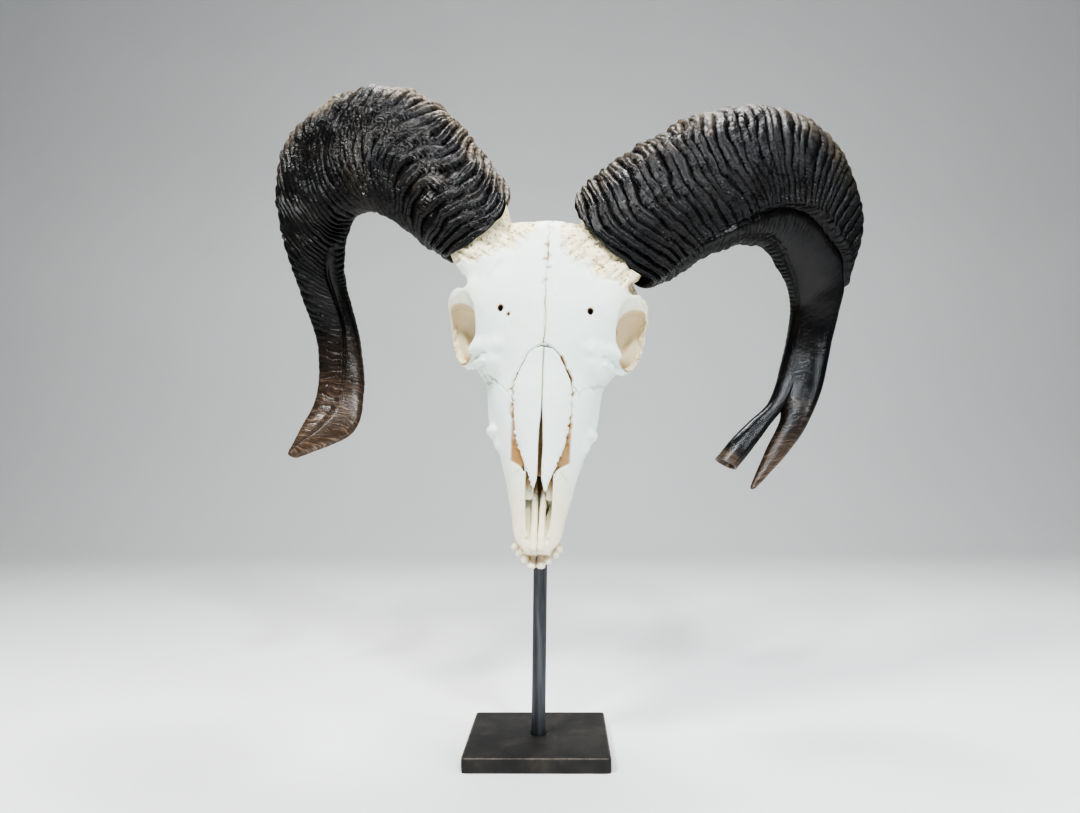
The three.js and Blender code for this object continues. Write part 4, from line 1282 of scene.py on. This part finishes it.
def horn_surface(rows, rings, sides, seed, ribs, lean, keel, reach_down=0.0):
    """Points of a horn's outer surface, with what its material wants to know."""
    rng = np.random.default_rng(seed)
    t = np.linspace(0, 1, rings)
    centre, across, back, width, depth = horn_frames(rows, t)
    outer_edge = centre + across * width[:, None] / 2
    stretch = np.linalg.norm(np.diff(outer_edge, axis=0), axis=1)
    middle = np.linalg.norm(np.diff(centre, axis=0), axis=1)
    length = np.r_[0, np.cumsum(0.5 * (stretch + middle))]

    angle = np.linspace(0, 2 * math.pi, sides, endpoint=False)
    s, c = np.sin(angle)[None, :], np.cos(angle)[None, :]
    blunt = 1 - 0.22 * np.maximum(0, -s) ** 2 * np.abs(c)
    flat = np.where(c < 0, 0.86, 1.0)
    u = np.sign(s) * np.abs(s) ** 0.86
    v = np.sign(c) * np.abs(c) ** 0.8 * blunt * flat
    points = (centre[:, None] + across[:, None] * (0.5 * width[:, None] * u)[..., None]
              + back[:, None] * (0.5 * depth[:, None] * v)[..., None])
    front = ramp(0.3, -0.3, c) + 0 * t[:, None]
    slide = reach_down / APRON * apron(u) * front * np.clip(1 - length[:, None] / 75, 0, 1) ** 2
    slide = slide + 1.6 * soft_noise(points, 7, seed + 11) * ramp(14, 0, length[:, None])
    follow = centre[max(rings // 20, 1)] - centre[0]
    follow = follow / np.linalg.norm(follow)
    points = points - follow * slide[..., None] - back[0] * (0.2 * slide)[..., None]

    waver = 3.5 * soft_noise(points, 34, seed + 2) + 2.8 * soft_noise(points, 15, seed)
    waver = waver + 1.4 * soft_noise(points, 6, seed + 3)
    place = length[:, None] - 0.45 * slide - lean_of(lean, length, u) + waver * ramp(-8, 30, length[:, None])
    main, crest = rib_profile(place, *ring_edges(length[-1], rng, ribs["pitch"]))
    crest = crest * np.clip(0.9 + 0.35 * soft_noise(points, 9, seed + 4), 0.5, 1.2)
    strength = track(ribs["height"])(t)[:, :1] * (0.8 + 0.2 * ramp(-1, 0.9, u))

    edge = track(keel)(t)
    at_keel = u - edge[:, :1] - 0.025 * soft_noise(points, 9, seed + 6)
    under = ramp(0.02, -0.02, at_keel) * front
    lip = np.exp(-((at_keel - 0.04) / 0.05) ** 2) * front
    notch = np.exp(-((at_keel + 0.05) / 0.05) ** 2) * front
    step = edge[:, 1:2]
    rise = strength * (crest - 0.6) * (1 - 0.9 * under) + step * (0.35 * lip - 0.75 * under - 0.8 * notch)
    rise = rise + 0.5 * rough_noise(points, 24, 2, seed + 8)
    rise = rise + 0.12 * soft_noise(points, 2.2, seed + 9) * strength

    gaps = np.linalg.norm(np.roll(points, -1, axis=1) - points, axis=2)
    walked = np.cumsum(gaps, axis=1) - gaps
    girth = gaps.sum(1, keepdims=True)
    turn = 2 * math.pi * walked / girth
    radius = girth / (2 * math.pi)
    return {"points": points, "rise": rise, "place": place, "ring_x": radius * np.cos(turn),
            "ring_y": radius * np.sin(turn), "crest": np.clip(main, 0, 1) * (1 - under), "under": under,
            "t": t[:, None] + 0 * u, "u": u + 0 * t[:, None], "centre": centre,
            "ribbed": ramp(0, 1.2, strength) * (1 - under)}


def grid_normals(points):
    lengthwise = np.gradient(points, axis=0)
    around = np.roll(points, -1, axis=1) - np.roll(points, 1, axis=1)
    normal = np.cross(lengthwise, around)
    normal /= np.linalg.norm(normal, axis=2, keepdims=True) + 1e-9
    return normal


print("horn surface ready")

# %% [markdown]
# A sheath is hollow at its base, where it slips over the bony core, so its skin turns in over a rounded
# rim and runs up inside before it closes. At the tip it closes in a blunt point, or, on the prong that
# broke off, in a hollow like the base.

# %% Sheath
def sheath(rows, rings, sides, seed, ribs, lean, keel, look, reach_down=0.0, hollow_tip=False):
    grown = horn_surface(rows, rings, sides, seed, ribs, lean, keel, reach_down)
    normal = grid_normals(grown["points"])
    middle = grown["centre"][:, None]
    if ((grown["points"] - middle) * normal).sum() < 0:
        normal = -normal
    fade = 0.55 + 0.45 * ramp(0, 0.01, grown["t"])
    fade = fade * (1 if hollow_tip else ramp(1, 0.985, grown["t"]))
    outer = grown["points"] + normal * (grown["rise"] * fade)[..., None]
    onward = grown["centre"][4] - grown["centre"][0]
    onward = onward / np.linalg.norm(onward)
    heart = outer[0].mean(0)
    rim = [outer[0] + (heart - outer[0]) * k - onward * b for k, b in ((0.10, 0.2), (0.07, 0.9), (0.03, 1.0))]
    rows_in = [outer[0] + (heart - outer[0]) * 0.12 + onward * b for b in (12, 7, 3)] + rim
    end, last = outer[-1], grown["centre"][-1]
    if hollow_tip:
        tip = [end + (last - end) * k for k in (0.05, 0.16)]
        for k in (2, 6, 10):
            back_ring, heart = outer[-1 - k], grown["centre"][-1 - k]
            tip.append(back_ring + (heart - back_ring) * (0.24 + 0.02 * k))
    else:
        tip = [end + (last - end) * k + (last - grown["centre"][-3]) * b for k, b in ((0.3, 0.9), (0.7, 1.5))]
    stack = np.concatenate([np.stack(rows_in), outer, np.stack(tip)])
    points = stack.reshape(-1, 3)
    count = len(stack)
    quads = tube_quads(count, sides)
    j = np.arange(sides)
    base_cap = np.stack([(j + 1) % sides, j, np.full(sides, len(points))], -1)
    tail = (count - 1) * sides
    tip_cap = np.stack([tail + j, tail + (j + 1) % sides, np.full(sides, len(points) + 1)], -1)
    points = np.vstack([points, stack[0].mean(0), stack[-1].mean(0)])

    def spread(field, first, last):
        full = np.concatenate([np.broadcast_to(first, (len(rows_in), sides)), field,
                               np.broadcast_to(last, (len(tip), sides))]).ravel()
        return np.r_[full, full[0], full[-1]]
    marks = look(grown)
    marks.update({mark: grown[mark] for mark in ("place", "ring_x", "ring_y", "ribbed")})
    marks = {mark: spread(value, value[0], value[-1]) for mark, value in marks.items()}
    return points, quads, np.vstack([base_cap, tip_cap]), marks


def horn_piece(name, node, parts):
    """One object made of closed skins, with the triangles of the caps turned the same way as the quads."""
    shift, points, faces, marks = 0, [], [], {}
    for spots, quads, caps, mark in parts:
        a, b, c, d = (to_room(spots)[quads[:, k]] for k in range(4))
        turned = (a * np.cross(b, c) + a * np.cross(c, d)).sum() < 0
        quads, caps = (quads[:, ::-1], caps[:, ::-1]) if turned else (quads, caps)
        faces += list(quads + shift) + list(caps + shift)
        points.append(spots)
        shift += len(spots)
        for key, value in mark.items():
            marks.setdefault(key, []).append(value)
    return new_piece(name, np.vstack(points), faces, HORN, node,
                     {key: np.concatenate(value) for key, value in marks.items()})


def looks(amount, brown_from, polished):
    """What the material should know: dust on the outer crests, brown towards the tip, a polished stretch."""
    def look(grown):
        t, u = grown["t"], grown["u"]
        noise = soft_noise(grown["points"], 30, 12) + 0.6 * soft_noise(grown["points"], 8, 13)
        outside = ramp(0.5, 1.15, u + 0.2 * noise)
        dust = amount * (0.15 + 0.85 * grown["crest"] ** 1.5) * outside * ramp(0.55, 0.35, t)
        dust = dust + 0.1 * amount * grown["crest"] ** 4 * ramp(0.1, 0.6, noise) * ramp(0.5, 0.3, t)
        tip = ramp(brown_from, 1.0, t + 0.05 * soft_noise(grown["points"], 12, 5))
        start, stop = polished
        shine = ramp(start - 0.05, start + 0.03, t) * ramp(stop + 0.05, stop - 0.03, t)
        return {"dust": np.clip(dust, 0, 1), "tip": tip, "crest": grown["crest"],
                "polish": np.clip(shine + 0.5 * grown["under"], 0, 1)}
    return look


print("sheath maker ready")

# %% [markdown]
# Each horn states its own ring widths, rib heights, leaning ribs and keel. The left one splits near its tip:
# its prong is a short sheath of its own, set against the inner edge, that ends in a broken hollow.

# %% Two horns
RINGS, SIDES = ((780, 124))
right = sheath(
    RIGHT_HORN, RINGS, SIDES, 21,
    ribs={"pitch": [[-60, 7.5], [0, 7.5], [60, 9.5], [130, 9], [200, 8], [600, 7]],
          "height": [[0, 3.6], [0.1, 4.6], [0.3, 4.4], [0.42, 4.0], [0.54, 2.6], [0.66, 1.0], [0.85, 0.3],
                     [1, 0.1]]},
    lean=[(12, [[-1, 14], [-0.6, 10], [-0.2, 6], [0.2, 0], [0.6, 2], [1, 15]]),
          (60, [[-1, 6], [-0.8, 17], [-0.4, 24], [-0.1, 20], [0.25, 10], [0.6, 0], [1, 0]]),
          (110, [[-1, -8], [-0.72, 9], [-0.4, 22], [-0.1, 25], [0.2, 16], [0.6, 0], [1, 0]]),
          (190, [[-1, 14], [-0.4, 18], [0, 12], [0.5, 2], [1, 0]]), (300, [[-1, 6], [1, 0]])],
    keel=[[0, -1.3, 0], [0.45, -1.1, 0.3], [0.58, -0.72, 1.6], [0.64, -0.58, 2.2], [0.708, -0.47, 2.2],
          [0.761, -0.29, 1.8], [0.848, 0.0, 1.5], [0.92, 0.4, 1.2], [1, 1.0, 0.6]],
    look=looks(1.0, 0.68, (0.66, 0.78)), reach_down=APRON,
)
horn_piece("horn_sheath_right", "horn_right", [right])

left = sheath(
    LEFT_HORN, RINGS, SIDES, 34,
    ribs={"pitch": [[-60, 6.5], [0, 6.5], [60, 8], [200, 8.5], [600, 8]],
          "height": [[0, 3.4], [0.1, 4.2], [0.3, 3.8], [0.42, 2.6], [0.52, 1.4], [0.62, 0.7], [0.7, 0.4],
                     [0.8, 0.1], [1, 0.1]]},
    lean=[(6, [[-1, 15], [-0.7, 9], [-0.3, 4], [0.1, 0], [0.5, 4], [1, 10]]),
          (40, [[-1, 18], [-0.45, 8], [-0.1, 0], [0.3, 1], [1, 4]]),
          (80, [[-1, 22], [-0.5, 9], [-0.1, 1], [0.2, 0], [0.6, 4], [1, 14]]),
          (125, [[-1, 40], [-0.45, 21], [0, 2], [0.45, 0], [1, 8]]),
          (230, [[-1, 24], [-0.4, 10], [0.2, 0], [1, 4]]), (340, [[-1, 4], [1, 0]])],
    keel=[[0, -1.04, 2.2], [0.124, -0.89, 3.2], [0.215, -0.77, 4], [0.346, -0.47, 5], [0.436, -0.2, 5.6],
          [0.543, 0.25, 4.6], [0.6, 0.7, 3], [0.64, 1.1, 1.4], [0.75, 1.4, 0], [1, 1.4, 0]],
    look=looks(0.5, 0.8, (0.6, 0.86)), reach_down=APRON,
)
horn_piece("horn_sheath_left", "horn_left", [left])
prong = sheath(
    PRONG, RINGS // 4, SIDES // 2, 47,
    ribs={"pitch": [[0, 6.5], [100, 6.5]], "height": [[0, 0.4], [1, 0.3]]},
    lean=[(0, [[-1, 0], [1, 0]]), (90, [[-1, 3], [1, 0]])], keel=[[0, 1.3, 0], [1, 1.3, 0]],
    look=looks(0.2, 0.8, (0.2, 0.9)), hollow_tip=True,
)
horn_piece("horn_prong", "horn_left", [prong])

# %% [markdown]
# The stand is plain steel: a square plate sawn from flat bar, painted matt black and rubbed through at its
# edges, and a round rod that goes up into the base of the skull.

# %% Steel materials
def plate_material():
    g = Graph("plate_steel", Metallic=0.0, Specular_IOR_Level=0.4)
    edge, cloud, fine = g.mark("edge"), g.noise(38.0, 5.0, 0.62), g.noise(620.0, 3.0, 0.6)
    scuff = g.noise(260.0, 4.0, 0.65)
    wear = (edge * 0.75 + scuff * 0.5 + cloud * 0.4).ramp(0.95, 1.3)
    rust = g.noise(70.0, 5.0, 0.7).ramp(0.52, 0.68)
    base = g.mix(cloud.ramp(0.3, 0.75), (0.016, 0.0155, 0.015, 1), (0.036, 0.033, 0.03, 1))
    base = g.mix(rust * 0.25, base, (0.075, 0.058, 0.042, 1))
    base = g.mix(wear * 0.55, base, (0.16, 0.135, 0.11, 1))
    normal = g.bump(fine, 0.25, 0.0003, g.bump(cloud, 0.3, 0.0008))
    return g.finish(Base_Color=base, Roughness=0.5 + fine * 0.2 - wear * 0.15, Normal=normal)


def rod_material():
    g = Graph("rod_steel", Metallic=0.75, Specular_IOR_Level=0.5)
    streak = g.noise(260.0, 4.0, 0.6, g.scaled(g.place(), (1.0, 1.0, 0.06)))
    cloud, fine = g.noise(55.0, 4.0, 0.6), g.noise(900.0, 2.0, 0.5)
    base = g.mix(streak.ramp(0.35, 0.7), (0.055, 0.058, 0.064, 1), (0.13, 0.135, 0.145, 1))
    base = g.mix(cloud.ramp(0.56, 0.74) * 0.35, base, (0.075, 0.065, 0.055, 1))
    normal = g.bump(streak, 0.15, 0.0003, g.bump(fine, 0.1, 0.0002))
    return g.finish(Base_Color=base, Roughness=0.3 + streak * 0.2 + cloud * 0.12, Normal=normal)


PLATE_STEEL, ROD_STEEL = plate_material(), rod_material()

# %% [markdown]
# The rod is a tube swept straight up, with eased ends. The plate is a stack of square rings that round its
# edges, run in across the top to the rod's hole and go down into it.

# %% Stand
ROD_RADIUS, ROD_LENGTH, ROD_LEAN, ROD_FOOT = 5.0, 362, math.radians(1.2), 4.3
PLATE_SIZE, PLATE_THICKNESS = 100.0, 10.0


def rod_path(t, angle):
    """A rod with eased ends, leaning a little to the ram's left."""
    reach = np.minimum(1, np.minimum(t, ROD_LENGTH - t) / 1.2)
    radius = ROD_RADIUS - 1.0 * (1 - np.clip(reach, 0, 1)) ** 2
    c, s = math.cos(ROD_LEAN), math.sin(ROD_LEAN)
    x, y = radius * np.cos(angle), radius * np.sin(angle)
    return np.stack([x * c + t * s, y + 0 * t, ROD_FOOT + t * c - x * s], -1)


rings = np.r_[0, 0.3, 0.7, 1.2, np.linspace(6, 356, 60), 360.8, 361.3, 361.7, 362]
points, faces = swept(rod_path, rings, 48)
new_piece("rod", points, faces, ROD_STEEL, "stand_rod", on_skull=False)


def plate_mesh(side, thick, round_edge, hole, cuts):
    """A square plate with soft worn edges and a round hole for the rod."""
    half = side / 2
    a = np.linspace(0, 2 * math.pi, cuts, endpoint=False)
    square = 1 / np.maximum(np.abs(np.cos(a)), np.abs(np.sin(a)))
    corner = (np.abs(np.cos(a)) ** 60 + np.abs(np.sin(a)) ** 60) ** (-1 / 60)
    shape = np.minimum(square, corner)[:, None] * np.stack([np.cos(a), np.sin(a)], -1)
    circle = np.stack([np.cos(a), np.sin(a)], -1)
    lift = np.array([0.1, 0.0])
    rings = []
    for level in (0, 1):
        bend = np.linspace(0, math.pi / 2, 5)
        for b in (bend if level == 0 else bend[::-1]):
            inset = round_edge * (1 - math.sin(b))
            z = round_edge * (1 - math.cos(b)) if level == 0 else thick - round_edge * (1 - math.cos(b))
            rings.append(np.c_[shape * (half - inset), np.full(cuts, z)])
        if level == 0:
            for z in np.linspace(round_edge, thick - round_edge, 6)[1:-1]:
                rings.append(np.c_[shape * half, np.full(cuts, z)])
    top = rings[-1]
    for k in np.linspace(0, 1, 14)[1:]:
        flat = shape * (half - round_edge) * (1 - k) + (circle * hole + lift) * k
        rings.append(np.c_[flat, np.full(cuts, thick)])
    rings.append(np.c_[circle * hole + lift, np.full(cuts, 4.0)])
    rings.append(np.c_[circle * 0.3 + lift, np.full(cuts, 4.0)])
    low = [np.c_[shape * (half - round_edge) * k, np.zeros(cuts)] for k in np.linspace(0.02, 0.98, 8)]
    stack = np.stack(low + rings)
    n = len(stack)
    points = stack.reshape(-1, 3)
    low, high, tail = len(points), len(points) + 1, (n - 1) * cuts
    caps = [np.array([low, (k + 1) % cuts, k]) for k in range(cuts)]
    caps += [np.array([high, tail + k, tail + (k + 1) % cuts]) for k in range(cuts)]
    points = np.vstack([points, stack[0].mean(0), stack[-1].mean(0)])
    return points, list(tube_quads(n, cuts)) + caps


points, faces = plate_mesh(PLATE_SIZE, PLATE_THICKNESS, 0.9, 5.35, 240)
far = np.maximum(np.abs(points[:, 0]), np.abs(points[:, 1]))
edge = ramp(47, 49.6, far) * ramp(2.2, 0.2, np.minimum(points[:, 2], PLATE_THICKNESS - points[:, 2]))
new_piece("base_plate", points, faces, PLATE_STEEL, "stand_base", {"edge": edge},
          on_skull=False)

# %% [markdown]
# The stage is a plain pale floor that sweeps up behind. A lamp above and to the left gives form, a weaker one
# fills in from the right and one overhead lifts the horns. Two small lamps in front draw bright lines on the
# glossy ribs, and a dim pale room keeps the shadows soft.

# %% Stage
def floor_material():
    g = Graph("floor", Specular_IOR_Level=0.2)
    cloud = g.noise(3.0, 3.0, 0.5)
    base = g.mix(cloud, (0.78, 0.78, 0.77, 1), (0.83, 0.83, 0.82, 1))
    return g.finish(Base_Color=base, Roughness=0.85 + cloud * 0.1)


profile = [(-3.0, 0.0), (1.2, 0.0)]
profile += [(1.2 + 0.8 * math.sin(a), 0.8 - 0.8 * math.cos(a)) for a in np.linspace(0.1, math.pi / 2, 16)]
profile += [(2.0, 3.5)]
corners = [(x, y, z) for y, z in profile for x in (-4.0, 4.0)]
sweep = bpy.data.meshes.new("floor")
sweep.from_pydata(corners, [], [(2 * k, 2 * k + 1, 2 * k + 3, 2 * k + 2) for k in range(len(profile) - 1)])
sweep.shade_smooth()
sweep.materials.append(floor_material())
floor = bpy.data.objects.new("floor", sweep)
bpy.context.scene.collection.objects.link(floor)

bpy.context.scene.view_settings.look = "AgX - High Contrast"
world = bpy.data.worlds.new("room")
bpy.context.scene.world = world
world.use_nodes = True
world.node_tree.nodes["Background"].inputs["Color"].default_value = (0.86, 0.9, 0.95, 1)
world.node_tree.nodes["Background"].inputs["Strength"].default_value = 0.17


def lamp(name, place, size, power, colour=(1, 1, 1)):
    data = bpy.data.lights.new(name, "AREA")
    data.shape, data.size, data.size_y = "RECTANGLE", size[0], size[1]
    data.energy, data.color = power, colour
    made = bpy.data.objects.new(name, data)
    made.location = place
    made.rotation_mode = "QUATERNION"
    made.rotation_quaternion = (Vector((0, 0, 0.26)) - Vector(place)).to_track_quat("-Z", "Y")
    bpy.context.scene.collection.objects.link(made)
    return made


lamp("key", (-0.6, -0.8, 1.3), (0.3, 0.3), 18, (1.0, 0.99, 0.97))
lamp("fill", (1.05, -0.75, 0.75), (0.2, 0.5), 6, (0.9, 0.95, 1.0))
lamp("top", (0.1, 0.15, 1.4), (0.5, 0.3), 14, (0.97, 0.98, 1.0))
lamp("glint", (0.35, -1.0, 1.0), (0.12, 0.12), 9, (0.9, 0.95, 1.0))
lamp("spark", (-0.15, -1.0, 1.15), (0.1, 0.1), 6, (0.95, 0.98, 1.0))
print("lamps:", [light.name for light in bpy.data.lights])

# %% [markdown]
# The camera stands in front, level with the lower part of the face, and looks slightly up. Its matrix is put
# together from three axes, so that a small roll can be stated beside the pitch and the yaw.

# %% Camera
pitch, yaw, roll = np.radians([4.15, 1.6, 0.5])
forward = np.array([-math.sin(yaw) * math.cos(pitch), math.cos(yaw) * math.cos(pitch), math.sin(pitch)])
sideways = np.cross(forward, [0, 0, 1])
sideways /= np.linalg.norm(sideways)
upward = np.cross(sideways, forward)
right_axis = sideways * math.cos(roll) - upward * math.sin(roll)
up_axis = sideways * math.sin(roll) + upward * math.cos(roll)
lens = bpy.data.cameras.new("camera")
lens.sensor_width, lens.lens, lens.clip_start = 36.0, 26.67, 0.01
camera = bpy.data.objects.new("camera", lens)
view = np.eye(4)
view[:3] = np.column_stack([right_axis, up_axis, -forward, (0.020, -0.5945, 0.204)])
camera.matrix_world = Matrix(view.tolist())
bpy.context.scene.collection.objects.link(camera)
bpy.context.scene.camera = camera
print("camera at", [round(float(k), 4) for k in view[:3, 3]])
